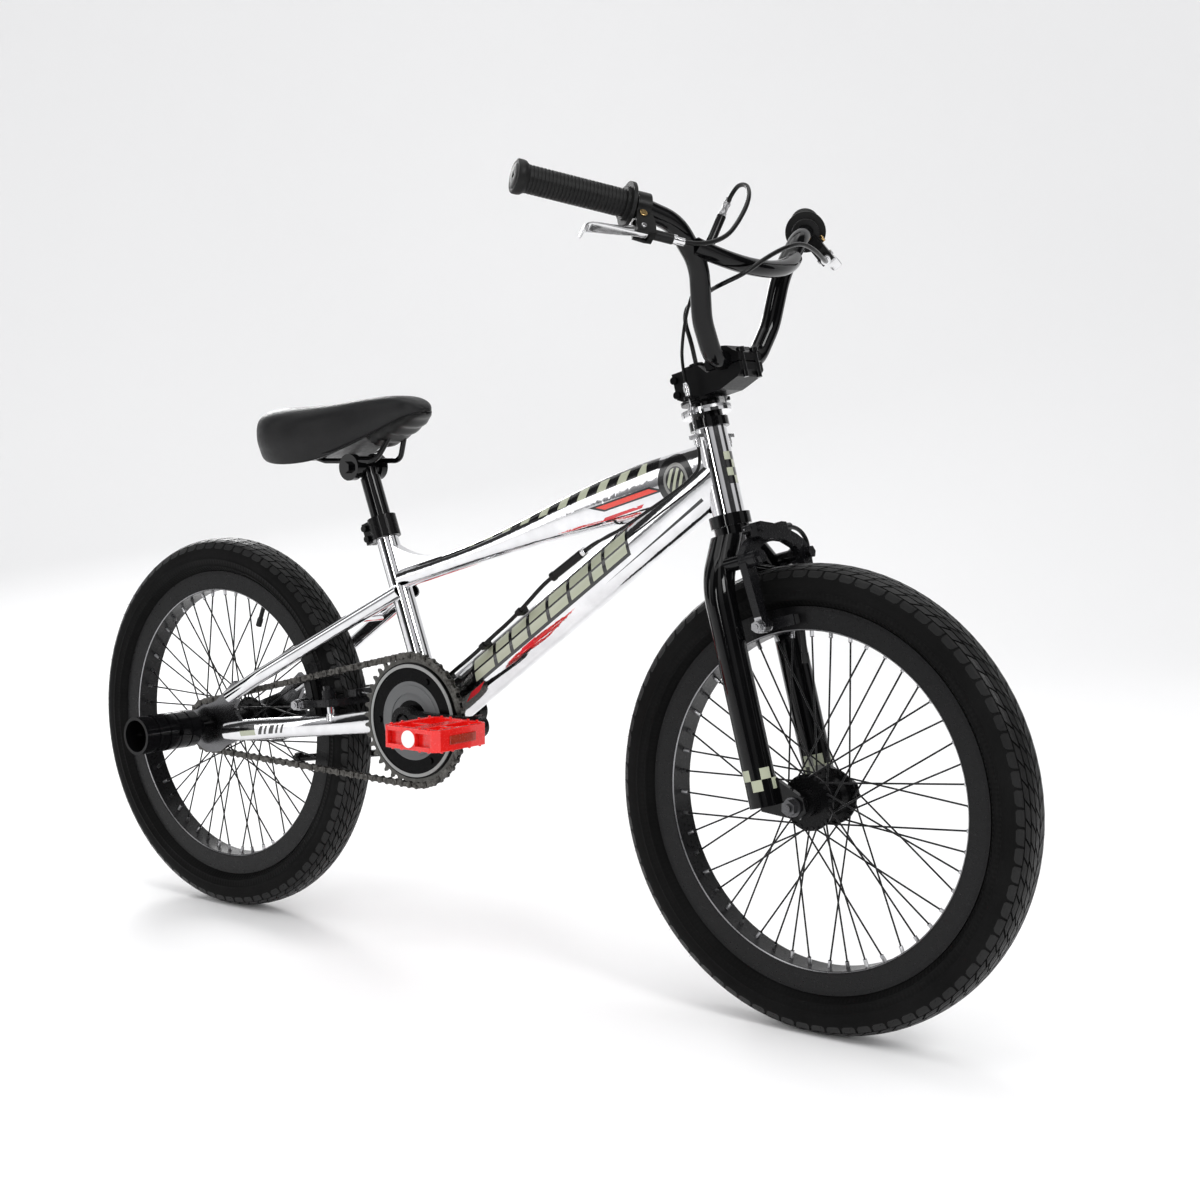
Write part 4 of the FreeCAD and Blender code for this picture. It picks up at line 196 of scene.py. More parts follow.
def paint(name, colour, rough, coat=0.0, bump=0.02):
    """Sprayed paint with a faint orange peel and a slight drift of tone."""
    s = Shader(name)
    peel = s.noise(480.0, 2.0, 0.5)
    cloud = s.noise(18.0, 4.0, 0.6)
    s.set("Base Color", s.fade(cloud, 0.35, 0.7, colour, tuple(c * 1.6 + 0.0008 for c in colour)))
    s.set("Roughness", s.remap(peel, 0.3, 0.7, max(0.02, rough - 0.04), rough + 0.05))
    s.set("Specular IOR Level", 0.10)
    s.set("Coat Weight", coat * 0.5)
    s.set("Coat IOR", 1.4)
    s.set("Coat Roughness", 0.04)
    s.bump(peel, bump, 0.0005)
    return s


def plastic(name, colour, rough, grain=260.0, bump=0.15):
    """Moulded plastic or rubber with a fine matt grain."""
    s = Shader(name)
    cell = s.cells(grain)
    cloud = s.noise(25.0, 4.0, 0.55)
    s.set("Base Color", s.fade(cloud, 0.3, 0.75, colour, tuple(c * 1.7 + 0.0008 for c in colour)))
    s.set("Roughness", s.remap(cloud, 0.3, 0.7, rough - 0.05, rough + 0.08))
    s.set("Specular IOR Level", 0.22)
    s.bump(cell, bump, 0.0004)
    return s


SAGE = (0.38, 0.40, 0.30)
BLACK = (0.003, 0.003, 0.0035)
RED = (0.62, 0.02, 0.03)
GREY = (0.20, 0.20, 0.19)


def plated(name):
    """Bright plating; decals are mixed over it by paint_over."""
    s = metal(name, (0.86, 0.86, 0.875), 0.07, 0.05, 30.0, 0.015)
    s.colour = s.bsdf.inputs["Base Color"].links[0].from_socket
    s.cover = None
    return s


def paint_over(s, mask, colour):
    """Lays one decal colour on plated metal where mask is 1."""
    s.colour = s.mix(mask, s.colour, colour)
    s.cover = mask if s.cover is None else s.either(s.cover, mask)


def finish_plated(s):
    """Wires the decals' colours in; they are paint, so not metallic."""
    if s.cover is not None:
        s.set("Base Color", s.colour)
        s.set("Metallic", s.math("SUBTRACT", 1.0, s.cover))
        rough = s.bsdf.inputs["Roughness"].links[0].from_socket
        s.set("Roughness", s.math("ADD", rough, s.math("MULTIPLY", s.cover, 0.12)))
        s.set("Coat Weight", s.math("MULTIPLY", s.cover, 0.7))
    return s.material


def slanted(s, u, v, lean):
    """u shifted with height v, so that its edges lean."""
    return s.math("SUBTRACT", u, s.math("MULTIPLY", v, lean))


def block(s, u, v, low, high, bottom, top):
    """A rectangular patch: low to high along u, bottom to top along v."""
    return s.both(s.between(u, low, high), s.between(v, bottom, top))


def top_tube_material():
    """Slanted stripes along the upper edge and plain red flashes low on the sides."""
    s = plated("top_tube_plated")
    angle = math.atan2(157.0, 535.0)
    origin = at(300, 0, 456)
    u = s.along(origin, Vector((math.cos(angle), 0, math.sin(angle))))
    v = s.along(origin, Vector((-math.sin(angle), 0, math.cos(angle))))
    edge = s.math("ADD", s.math("MULTIPLY", u, 0.040), 2.0)
    height = s.math("SUBTRACT", v, edge)
    side = s.aside(origin)
    upper = s.both(s.between(u, 152, 466), s.math("GREATER_THAN", height, 0.5))
    paint_over(s, upper, BLACK)
    lean = slanted(s, u, height, 0.55)
    wave = s.math("FRACT", s.math("DIVIDE", lean, 31.0))
    stripe = s.both(upper, s.math("LESS_THAN", wave, 0.46))
    stripe = s.both(stripe, s.both(s.between(u, 160, 448), s.math("LESS_THAN", height, 12.5)))
    paint_over(s, stripe, SAGE)
    flash = slanted(s, u, v, 1.4)
    fade = s.math("GREATER_THAN", s.noise(70.0, 2.0, 0.4, (1, 1, 5)), 0.36)
    low = s.both(block(s, flash, v, 392, 452, -15.5, -12.0), fade)
    paint_over(s, low, RED)
    lean_back = slanted(s, u, v, -2.2)
    paint_over(s, block(s, lean_back, v, 366, 458, -5.5, 4.0), BLACK)
    paint_over(s, block(s, lean_back, v, 372, 452, -3.5, 2.0), (0.72, 0.05, 0.03))
    du = s.math("DIVIDE", s.math("SUBTRACT", u, 487.0), 25.0)
    dv = s.math("DIVIDE", v, 31.0)
    far = s.math("SQRT", s.math("ADD", s.math("MULTIPLY", du, du), s.math("MULTIPLY", dv, dv)))
    sides = s.math("GREATER_THAN", side, 4.0)
    paint_over(s, s.both(s.math("LESS_THAN", far, 1.0), sides), BLACK)
    paint_over(s, s.both(s.between(far, 0.55, 0.68), sides), GREY)
    bars = s.math("LESS_THAN", s.math("FRACT", s.math("DIVIDE", lean, 9.0)), 0.5)
    paint_over(s, s.both(s.both(s.math("LESS_THAN", far, 0.5), bars), sides), SAGE)
    return finish_plated(s)


def down_tube_material():
    """A row of plain slanted blocks, thin dark lines and small red flashes."""
    s = plated("down_tube_plated")
    u = s.along(BB, Vector((math.cos(DOWN_SLOPE), 0, math.sin(DOWN_SLOPE))))
    v = s.along(BB, Vector((-math.sin(DOWN_SLOPE), 0, math.cos(DOWN_SLOPE))))
    side = s.math("GREATER_THAN", s.aside(BB), 6.0)
    lean = slanted(s, u, v, 0.35)
    paint_over(s, s.both(block(s, slanted(s, u, v, 2.5), v, 206, 232, -14, -9.5), side), RED)
    paint_over(s, s.both(block(s, slanted(s, u, v, 3.0), v, 112, 138, -16, -10.5), side), RED)
    starts = (98, 141, 172, 206, 243, 282, 322, 346)
    widths = (37, 25, 28, 31, 33, 34, 18, 36)
    for start, width in zip(starts, widths):
        rim = block(s, lean, v, start - 4.5, start + width + 4.5, -9.0, 23.5)
        paint_over(s, s.both(rim, side), BLACK)
    for start, width in zip(starts, widths):
        inner = s.both(block(s, lean, v, start, start + width, -5.0, 19.5), side)
        paint_over(s, inner, SAGE)
        paint_over(s, s.both(inner, s.between(v, 5.6, 8.2)), BLACK)
    taper = s.math("MULTIPLY", s.math("SUBTRACT", u, 330.0), 0.022)
    line = s.both(s.between(u, 332, 500), s.both(s.math("GREATER_THAN", v, -15.5),
                  s.math("LESS_THAN", v, s.math("SUBTRACT", taper, 15.5))))
    paint_over(s, s.both(line, side), BLACK)
    return finish_plated(s)


def head_tube_material():
    """Plated, with four rows of small sage and black squares up the front."""
    s = plated("head_tube_plated")
    origin, size = head(0, 0, 345), 9.0
    offset = s.vector("SUBTRACT", s.coords, origin)
    ahead, left = s.vector("DOT_PRODUCT", offset, STEER_FWD), s.vector("DOT_PRODUCT", offset, ACROSS)
    u = s.along(origin, STEER_UP)
    w = s.math("MULTIPLY", s.math("ARCTAN2", left, ahead), 18.0)
    area = block(s, u, w, 0, 4 * size, -size, size)
    paint_over(s, area, BLACK)
    odd = s.squares(s.steps(u, size), s.steps(w, size))
    paint_over(s, s.both(area, s.math("LESS_THAN", odd, 0.5)), SAGE)
    return finish_plated(s)


def chain_stay_material():
    """Plated stays with a short two-coloured strip and dark dashes on the side faces."""
    s = plated("chain_stay_plated")
    origin = at(86, 0, 256.5)
    tilt = math.atan2(9.0, 64.0)
    u = s.along(origin, Vector((math.cos(tilt), 0, math.sin(tilt))))
    v = s.along(origin, Vector((-math.sin(tilt), 0, math.cos(tilt))))
    side = s.math("GREATER_THAN", s.aside(origin), 50.0)
    for bottom, colour in ((-7.0, SAGE), (0.0, BLACK)):
        paint_over(s, s.both(block(s, u, v, 8.0, 36.0, bottom, bottom + 7.0), side), colour)
    for low, high in ((44, 50), (54, 58), (63, 71), (75, 79), (84, 88)):
        paint_over(s, s.both(block(s, slanted(s, u, v, 0.5), v, low, high, -6.5, 4.5), side), BLACK)
    return finish_plated(s)


def fork_material():
    """Deep gloss black with a chequered band at the foot of each leg."""
    s = paint("fork_gloss", (0.0014, 0.0014, 0.0016), 0.10, 0.9)
    foot = s.along(head(0, 0, 0), STEER_UP)
    ahead = s.along(head(5, 0, 0), STEER_FWD)
    out = s.math("SUBTRACT", s.aside(), 58.0)
    turn = s.math("MULTIPLY", s.math("ARCTAN2", ahead, out), 17.0)
    row = s.steps(s.math("SUBTRACT", foot, 13.0), 12.0)
    column = s.steps(turn, 11.9)
    odd = s.squares(row, column)
    shift = s.math("ADD", column, s.math("MULTIPLY", row, 2.0))
    three = s.math("ABSOLUTE", s.math("MODULO", shift, 3.0))
    from_leg = s.math("ADD", s.math("MULTIPLY", ahead, ahead), s.math("MULTIPLY", out, out))
    band = s.both(s.between(foot, 13.0, 37.0), s.math("LESS_THAN", from_leg, 330.0))
    base = s.bsdf.inputs["Base Color"].links[0].from_socket
    colour = s.mix(s.both(band, s.math("LESS_THAN", odd, 0.5)), base, SAGE)
    grey = s.both(band, s.both(s.math("GREATER_THAN", odd, 0.5), s.math("LESS_THAN", three, 0.5)))
    colour = s.mix(grey, colour, GREY)
    s.set("Base Color", colour)
    return s.material


def chainring_material():
    """Black guard disc with grey rings, and a darker steel toothed edge."""
    s = Shader("guard_disc")
    r = s.radius(BB)
    side = s.along(BB, ACROSS)
    spun = s.noise(900.0, 2.0, 0.5, (0.2, 1, 0.2))
    wide = s.between(r, 25.5, 49.0)
    thin = s.between(r, 66.0, 70.2)
    face = s.math("LESS_THAN", side, -46.4)
    colour = s.mix(s.both(wide, face), (0.0014, 0.0014, 0.0016), (0.125, 0.128, 0.130))
    colour = s.mix(s.both(thin, face), colour, (0.27, 0.275, 0.27))
    teeth = s.either(s.math("GREATER_THAN", r, 72.05), s.math("GREATER_THAN", side, -46.4))
    steel = s.mix(s.noise(140.0, 3.0, 0.6), (0.035, 0.034, 0.032), (0.12, 0.118, 0.11))
    colour = s.mix(teeth, colour, steel)
    s.set("Base Color", colour)
    s.set("Metallic", teeth)
    s.set("Specular IOR Level", 0.07)
    s.set("Roughness", s.remap(spun, 0.3, 0.7, 0.16, 0.28))
    s.bump(spun, 0.05, 0.0004)
    return s.material


def spoke_material(name, centre):
    """Black spokes with bright nipples near the rim."""
    s = Shader(name)
    nipple = s.math("GREATER_THAN", s.radius(centre), 175.6)
    grime = s.noise(200.0, 3.0, 0.6)
    plating = s.mix(grime, (0.42, 0.42, 0.43), (0.72, 0.72, 0.74))
    s.set("Base Color", s.mix(nipple, (0.006, 0.006, 0.0065), plating))
    s.set("Metallic", nipple)
    s.set("Specular IOR Level", 0.20)
    s.set("Roughness", s.remap(grime, 0.3, 0.7, 0.24, 0.42))
    s.bump(grime, 0.06, 0.0003)
    return s.material


def rim_material(name, centre):
    """Satin black rim, its brake tracks worn a little, with a bright inner edge."""
    s = Shader(name)
    r = s.radius(centre)
    track = s.between(r, 186.5, 204.5)
    scratch = s.noise(260.0, 4.0, 0.7)
    spun = s.noise(700.0, 2.0, 0.5)
    base = s.fade(scratch, 0.35, 0.7, (0.002, 0.002, 0.0023), (0.0045, 0.0045, 0.005))
    worn = s.fade(spun, 0.4, 0.8, (0.004, 0.004, 0.0043), (0.009, 0.009, 0.0095))
    colour = s.mix(track, base, worn)
    edge = s.both(s.between(r, 182.0, 184.4), s.math("GREATER_THAN", s.aside(centre), 15.4))
    colour = s.mix(edge, colour, (0.30, 0.30, 0.31))
    s.set("Base Color", colour)
    s.set("Metallic", s.math("MULTIPLY", edge, 0.9))
    s.set("Specular IOR Level", 0.20)
    s.set("Roughness", s.remap(scratch, 0.3, 0.7, 0.24, 0.36))
    s.bump(scratch, 0.03, 0.0004)
    return s.material


def pedal_material(name, centre, side):
    """Bright red moulding with amber reflectors and a white end cap."""
    s = Shader(name)
    x = s.math("ABSOLUTE", s.along(centre, Vector((1, 0, 0))))
    y = s.math("MULTIPLY", s.along(centre, ACROSS), side)
    cloud = s.noise(60.0, 3.0, 0.6)
    fine = s.noise(500.0, 2.0, 0.5)
    red = s.mix(cloud, (0.62, 0.004, 0.004), (0.86, 0.012, 0.008))
    reflector = s.math("GREATER_THAN", x, PEDAL_HALF + 0.1)
    cap = s.math("GREATER_THAN", y, PEDAL_OUT + 0.1)
    facets = s.cells(700.0)
    amber = s.mix(facets, (0.42, 0.030, 0.006), (0.16, 0.008, 0.004))
    colour = s.mix(reflector, red, amber)
    colour = s.mix(cap, colour, (0.86, 0.86, 0.84))
    s.set("Base Color", colour)
    s.set("Roughness", s.remap(fine, 0.3, 0.7, 0.16, 0.30))
    s.set("Coat Weight", 0.5)
    s.set("Subsurface Weight", 0.06)
    s.set("Subsurface Radius", Vector((0.004, 0.001, 0.001)))
    s.bump(fine, 0.05, 0.0004)
    return s.material


def brake_material(name, axle):
    """Black forged arms; pads are dull rubber; washers, shoes and nuts are bright."""
    s = Shader(name)
    across, out = s.aside(), s.radius(axle)
    low = s.math("LESS_THAN", out, 206.0)
    pad = s.both(low, s.math("LESS_THAN", across, 27.6))
    bright = s.both(low, s.either(s.between(across, 30.2, 39.0), s.math("GREATER_THAN", across, 50.9)))
    bright = s.both(bright, s.math("LESS_THAN", out, 203.0))
    grain = s.noise(300.0, 3.0, 0.6)
    black = s.mix(grain, (0.003, 0.003, 0.0034), (0.008, 0.008, 0.009))
    colour = s.mix(pad, black, (0.018, 0.018, 0.018))
    colour = s.mix(bright, colour, s.mix(grain, (0.34, 0.34, 0.35), (0.46, 0.46, 0.47)))
    s.set("Base Color", colour)
    s.set("Metallic", bright)
    rough = s.remap(grain, 0.3, 0.7, 0.18, 0.30)
    s.set("Roughness", s.math("ADD", rough, s.math("MULTIPLY", pad, 0.45)))
    s.set("Specular IOR Level", 0.24)
    s.bump(grain, 0.03, 0.0004)
    return s.material


def tyre_material(name, centre, tread=False):
    """Near-black rubber, ribbed low on the sidewall; tread blocks are glossier and painted paler, a
    painted light that leaves the groove floors as painted shade.
    """
    s = Shader(name)
    noise = s.noise(420.0, 4.0, 0.65)
    cloud = s.noise(14.0, 4.0, 0.6)
    x, z, r = s.along(centre, Vector((1, 0, 0))), s.along(centre, UP), s.radius(centre)
    turn = s.math("MULTIPLY", s.math("ARCTAN2", z, x), 260.0)
    rings = s.either(s.between(r, 218.0, 224.5), s.between(r, 211.0, 215.0))
    ribs = s.both(s.math("SINE", turn), rings)
    grain = s.math("ADD", noise, s.math("MULTIPLY", ribs, 0.35))
    # Painted light and shade: the tread blocks get 1.8 times the carcass colour, so they read lit
    # against groove floors painted in shade.
    painted_tread_light = 1.8 if tread else 1.0
    s.set("Base Color", s.fade(cloud, 0.3, 0.7, (0.0022 * painted_tread_light,) * 3, (0.0050 * painted_tread_light,) * 3))
    smooth, rough = (0.32, 0.48) if tread else (0.50, 0.66)
    s.set("Roughness", s.remap(grain, 0.3, 0.7, smooth, rough))
    s.set("Specular IOR Level", 0.27 if tread else 0.08)
    s.bump(grain, 0.25, 0.0005)
    return s.material


def vinyl_material():
    """Black saddle vinyl with a pebbled grain, fine creases and a soft sheen."""
    s = Shader("saddle_vinyl")
    pebbles = s.cells(620.0, "SMOOTH_F1")
    creases = s.noise(160.0, 5.0, 0.65)
    cloud = s.noise(22.0, 3.0, 0.5)
    s.set("Base Color", s.fade(cloud, 0.3, 0.7, (0.0045, 0.0045, 0.005), (0.0095, 0.0095, 0.010)))
    s.set("Roughness", s.remap(creases, 0.3, 0.7, 0.34, 0.50))
    s.set("Specular IOR Level", 0.26)
    height = s.math("ADD", s.math("MULTIPLY", pebbles, 0.7), s.math("MULTIPLY", creases, 0.5))
    s.bump(height, 0.32, 0.0005)
    return s.material


def chain_material():
    """Dark oiled steel with paler worn patches."""
    s = Shader("chain_steel")
    patches = s.noise(180.0, 4.0, 0.65)
    fine = s.noise(1200.0, 2.0, 0.5)
    s.set("Base Color", s.fade(patches, 0.35, 0.65, (0.030, 0.028, 0.026), (0.15, 0.145, 0.135)))
    s.set("Metallic", 0.95)
    s.set("Roughness", s.remap(patches, 0.3, 0.7, 0.26, 0.46))
    s.bump(fine, 0.12, 0.0003)
    return s.material


# The pedals' inner and outer ends, half length and half thickness.
PEDAL_IN, PEDAL_OUT, PEDAL_HALF, PEDAL_RISE = 100.0, 189.0, 43.0, 12.5
CRANK_TILT = math.radians(3.3)
CRANK_ARM = Vector((math.cos(CRANK_TILT), 0, math.sin(CRANK_TILT))) * 0.130
PEDAL_CENTRES = {"right": BB + CRANK_ARM, "left": BB - CRANK_ARM}

METALS = {
    "alu": ("polished_aluminium", (0.80, 0.80, 0.81), 0.17, 0.08, 90.0, 0.05),
    "steel": ("satin_steel", (0.50, 0.50, 0.51), 0.28, 0.10, 120.0, 0.06),
    "dark_steel": ("dark_steel", (0.13, 0.13, 0.135), 0.30, 0.12, 90.0, 0.08),
    "dropout": ("dropout_steel", (0.17, 0.17, 0.175), 0.22, 0.10, 70.0, 0.05),
    "brass": ("brass_bolt", (0.66, 0.45, 0.20), 0.25, 0.08, 120.0, 0.05),
}
PAINTS = {
    "gloss_black": ("gloss_black", (0.0014, 0.0014, 0.0016), 0.09, 0.9),
    "satin_black": ("satin_black", (0.0028, 0.0028, 0.003), 0.26, 0.25, 0.05),
    "matte_black": ("matte_black", (0.0028, 0.0028, 0.003), 0.34, 0.1, 0.10),
    "peg_black": ("peg_black", (0.002, 0.002, 0.0023), 0.17, 0.6),
}
PLASTICS = {
    "black_plastic": ("black_plastic", (0.0035, 0.0035, 0.0035), 0.34),
    "cable": ("cable_jacket", (0.0025, 0.0025, 0.0025), 0.22, 900.0, 0.06),
    "tube_rubber": ("tube_rubber", (0.012, 0.012, 0.012), 0.5),
    "grip": ("grip_rubber", (0.0050, 0.0050, 0.0050), 0.50, 520.0, 0.25),
}


def build_materials():
    """Every material by its short key."""
    m = {key: metal(*values).material for key, values in METALS.items()}
    m.update({key: paint(*values).material for key, values in PAINTS.items()})
    m.update({key: plastic(*values).material for key, values in PLASTICS.items()})
    m["chrome"] = finish_plated(plated("bright_plating"))
    for end, axle in (("front", FRONT_AXLE), ("rear", REAR_AXLE)):
        m["tyre_" + end] = tyre_material(end + "_tyre_rubber", axle)
        m["tread_" + end] = tyre_material(end + "_tread_rubber", axle, True)
        m[end + "_spokes"] = spoke_material(end + "_spoke_metal", axle)
        m[end + "_rim"] = rim_material(end + "_rim_black", axle)
        m[end + "_brake"] = brake_material(end + "_brake_metal", axle)
    for side, name in ((-1.0, "right"), (1.0, "left")):
        m["pedal_" + name] = pedal_material("pedal_" + name + "_red", PEDAL_CENTRES[name], side)
    m["vinyl"] = vinyl_material()
    m["chain"] = chain_material()
    m["fork"] = fork_material()
    m["top_tube"] = top_tube_material()
    m["down_tube"] = down_tube_material()
    m["head_tube"] = head_tube_material()
    m["chain_stays"] = chain_stay_material()
    m["guard"] = chainring_material()
    return m


MATERIALS = build_materials()

# The frame's nodes under each material's key.
NODE_MATERIALS = {
    "head_tube": "head_tube", "top_tube": "top_tube", "down_tube": "down_tube",
    "chain_stays": "chain_stays", "chain": "drive_chain", "fork": "fork_legs",
    "guard": "chainring", "vinyl": "saddle_cover", "grip": "grips",
    "chrome": "seat_tube bb_shell seat_stays gyro_lower_ring",
    "dropout": "rear_dropouts",
    "alu": "gyro_stops barrel_adjusters brake_lever_right brake_lever_left",
    "steel": "fork_steerer gyro_upper_ring",
    "dark_steel": "bb_cups rear_axle front_axle rear_sprocket pedal_axles",
    "gloss_black": "headset_cups headset_bearings stem_hardware handlebar seat_post saddle_frame",
    "satin_black": "seat_collar kickstand_bracket gyro_upper_plate front_hub rear_hub crank_arms "
                   "kickstand_leg",
    "matte_black": "stem_body stem_cap",
    "peg_black": "rear_pegs",
    "black_plastic": "cable_clips lever_brackets",
    "cable": "rear_brake_cables front_brake_cable gyro_upper_cables",
    "tube_rubber": "front_inner_tube rear_inner_tube",
    "tyre_front": "front_tyre", "tyre_rear": "rear_tyre",
    "front_rim": "front_rim", "rear_rim": "rear_rim",
    "front_spokes": "front_spokes", "rear_spokes": "rear_spokes",
    "front_brake": "front_brake_arm_right front_brake_arm_left",
    "rear_brake": "rear_brake_arm_right rear_brake_arm_left",
    "pedal_right": "pedal_right", "pedal_left": "pedal_left",
}

for key, node_names in NODE_MATERIALS.items():
    for node_name in node_names.split():
        node = NODES[node_name]
        for slot in node.material_slots:
            slot.material = MATERIALS[key]
        if not node.material_slots:
            node.data.materials.append(MATERIALS[key])


# Mesh helpers ----------------------------------------------------------------------------
def mesh_piece(name, verts, faces, material, smooth=True):
    """A mesh object with one material."""
    mesh = bpy.data.meshes.new(name)
    mesh.from_pydata([tuple(v) for v in verts], [], faces)
    mesh.validate()
    mesh.polygons.foreach_set("use_smooth", [smooth] * len(mesh.polygons))
    mesh.update()
    piece = bpy.data.objects.new(name, mesh)
    bpy.context.scene.collection.objects.link(piece)
    mesh.materials.append(MATERIALS[material])
    return piece


def face_outward(piece):
    """Turns every shell's faces to look outward."""
    shell = bmesh.new()
    shell.from_mesh(piece.data)
    bmesh.ops.recalc_face_normals(shell, faces=shell.faces)
    shell.to_mesh(piece.data)
    shell.free()


def skin(rows, ring):
    """Faces between rows of ring points each, closed round the ring."""
    faces = []
    for i in range(rows - 1):
        for k in range(ring):
            a, b = i * ring + k, i * ring + (k + 1) % ring
            faces.append((a, b, b + ring, a + ring))
    return faces


def circle(k, steps):
    """Cosine and sine of step k round a circle."""
    turn = 2 * math.pi * k / steps
    return math.cos(turn), math.sin(turn)


def rounded(value, power):
    """value drawn towards -1 or 1 by a power below 1."""
    return math.copysign(abs(value) ** power, value)


def bevelled(piece, width):
    """Rounds a piece's sharp edges."""
    edge = piece.modifiers.new("edges", "BEVEL")
    edge.width = width * MM
    edge.segments = 2
    edge.limit_method = "ANGLE"


def subdivided(piece):
    """Smooths a piece's coarse mesh."""
    smooth = piece.modifiers.new("smooth", "SUBSURF")
    smooth.levels = smooth.render_levels = 2


def cable_piece(name, points, radius, material="cable"):
    """A held cable: a smooth NURBS line through its given points, with a round bevel."""
    curve = bpy.data.curves.new(name, "CURVE")
    curve.dimensions = "3D"
    curve.bevel_depth = radius * MM
    curve.bevel_resolution = 5
    curve.use_fill_caps = True
    spline = curve.splines.new("NURBS")
    spline.points.add(len(points) - 1)
    for target, point in zip(spline.points, points):
        target.co = (*point, 1.0)
    spline.order_u = 3
    spline.use_endpoint_u = True
    spline.resolution_u = 10
    piece = bpy.data.objects.new(name, curve)
    bpy.context.scene.collection.objects.link(piece)
    curve.materials.append(MATERIALS[material])
    return piece


# Tyres -----------------------------------------------------------------------------------
# Half of the outer section: radius from the axle and distance from the middle plane.
TREAD = [(254.0, 0.0), (253.6, 8.0), (251.6, 15.5), (247.6, 21.6), (240.5, 25.8)]
SIDEWALL = [
    (236.0, 26.6), (230.0, 26.9), (227.0, 26.6), (226.6, 27.1), (225.6, 27.1), (225.2, 26.5),
    (220.0, 25.6), (217.4, 24.7), (217.0, 25.3), (216.0, 24.9), (215.6, 23.9), (212.4, 20.4),
    (210.0, 16.8), (209.2, 14.6), (205.5, 14.4),
]
INSIDE = [(203.4, 14.4), (203.4, 10.8), (209.0, 11.2), (222.0, 22.6), (236.0, 22.6)]
GROOVE = 1.9
PITCHES = 80
PITCH = 2 * math.pi / PITCHES
SCATTER = 43758.5453  # a large odd factor that turns a sine into a fixed scatter
# Slanted rows of blocks: inner and outer edge as shares of the half width, and lean in pitches.
ROWS = [(0.030, 0.230, 0.55), (0.272, 0.470, 0.55), (0.512, 0.710, 0.45)]


def tread_point(p):
    """Radius and offset on the tread's curve, p from 0 at the middle to 1 at the shoulder's edge."""
    place = p * (len(TREAD) - 1)
    k = min(int(place), len(TREAD) - 2)
    f = place - k
    p0, p1 = TREAD[max(k - 1, 0)], TREAD[k]
    p2, p3 = TREAD[k + 1], TREAD[min(k + 2, len(TREAD) - 1)]
    if k == 0:
        p0 = (TREAD[1][0], -TREAD[1][1])
    out = []
    for i in range(2):
        a = 2 * p1[i]
        b = p2[i] - p0[i]
        c = 2 * p0[i] - 5 * p1[i] + 4 * p2[i] - p3[i]
        d = -p0[i] + 3 * p1[i] - 3 * p2[i] + p3[i]
        out.append(0.5 * (a + b * f + c * f * f + d * f ** 3))
    return out


def on_tyre(centre, p, angle, rise):
    """A point over the tread: p is -1..1 across, angle round the wheel, rise above the grooves."""
    r, y = tread_point(abs(p))
    near = tread_point(min(1.0, abs(p) + 0.02))
    slope = Vector((near[0] - r, near[1] - y))
    if slope.length < 1e-6:
        slope = Vector((0, 1))
    slope.normalize()
    up_r, up_y = slope.y, -slope.x
    sign = 1.0 if p >= 0 else -1.0
    drop = rise - GROOVE
    r = (r + up_r * drop) * MM
    y = (y + up_y * drop) * sign * MM
    return centre + Vector((r * math.cos(angle), y, r * math.sin(angle)))


def carcass_piece(name, centre, material):
    """The tyre's body: tread floor, sidewalls with their ridges, and beads."""
    half = [(*tread_point(k / 8), True) for k in range(1, 9)]
    half += [(r, y, False) for r, y in SIDEWALL + INSIDE]
    section = [(-y, r, tread) for r, y, tread in reversed(half)]
    section += [(0.0, 254.0, True)] + [(y, r, tread) for r, y, tread in half]
    verts, faces = [], []
    steps, n = 200, len(section)
    for j in range(steps):
        c, t = circle(j, steps)
        for y, r, tread in section:
            if tread:
                r -= GROOVE * max(0.0, 1.0 - (abs(y) / 26.5) ** 6)
            verts.append(centre + Vector((r * c, y, r * t)) * MM)
        for i in range(n - 1):
            a, b = j * n + i, ((j + 1) % steps) * n + i
            faces.append((a, b, b + 1, a + 1))
    return mesh_piece(name, verts, faces, material)


def tread_piece(name, centre, material):
    """The raised blocks: three slanted rows and a shoulder row on each side."""
    verts, faces = [], []

    def raised(outline, columns):
        """A block; outline(c, e) gives its place across and round for column share c and end e."""
        base = len(verts)
        for c in range(columns + 1):
            for e in (0, 1):
                p, share = outline(c / columns, e)
                foot = share + (0.5 - e) * -0.03
                verts.append(on_tyre(centre, p, foot * PITCH, 0.0))
                verts.append(on_tyre(centre, p, share * PITCH, GROOVE))
        for c in range(columns):
            k = base + 4 * c
            faces.append((k + 1, k + 5, k + 7, k + 3))
            faces.append((k, k + 4, k + 5, k + 1))
            faces.append((k + 2, k + 3, k + 7, k + 6))
        faces.append((base, base + 1, base + 3, base + 2))
        k = base + 4 * columns
        faces.append((k, k + 2, k + 3, k + 1))

    for k in range(PITCHES):
        for sign in (-1, 1):
            first = k + (0.5 if sign < 0 else 0.0)
            for row, (low, high, lean) in enumerate(ROWS):
                start = first + 0.33 * row + 0.08

                def slab(c, e):
                    return sign * (low + (high - low) * c), start + lean * c + e * 0.84

                raised(slab, 2)

            def shoulder(c, e):
                width = 0.86 - 0.28 * max(0.0, c - 0.55) ** 2 / 0.2
                return sign * (0.745 + 0.255 * c), first + 1.12 + 0.10 * c + (e - 0.5) * width

            raised(shoulder, 4)
    return mesh_piece(name, verts, faces, material, False)


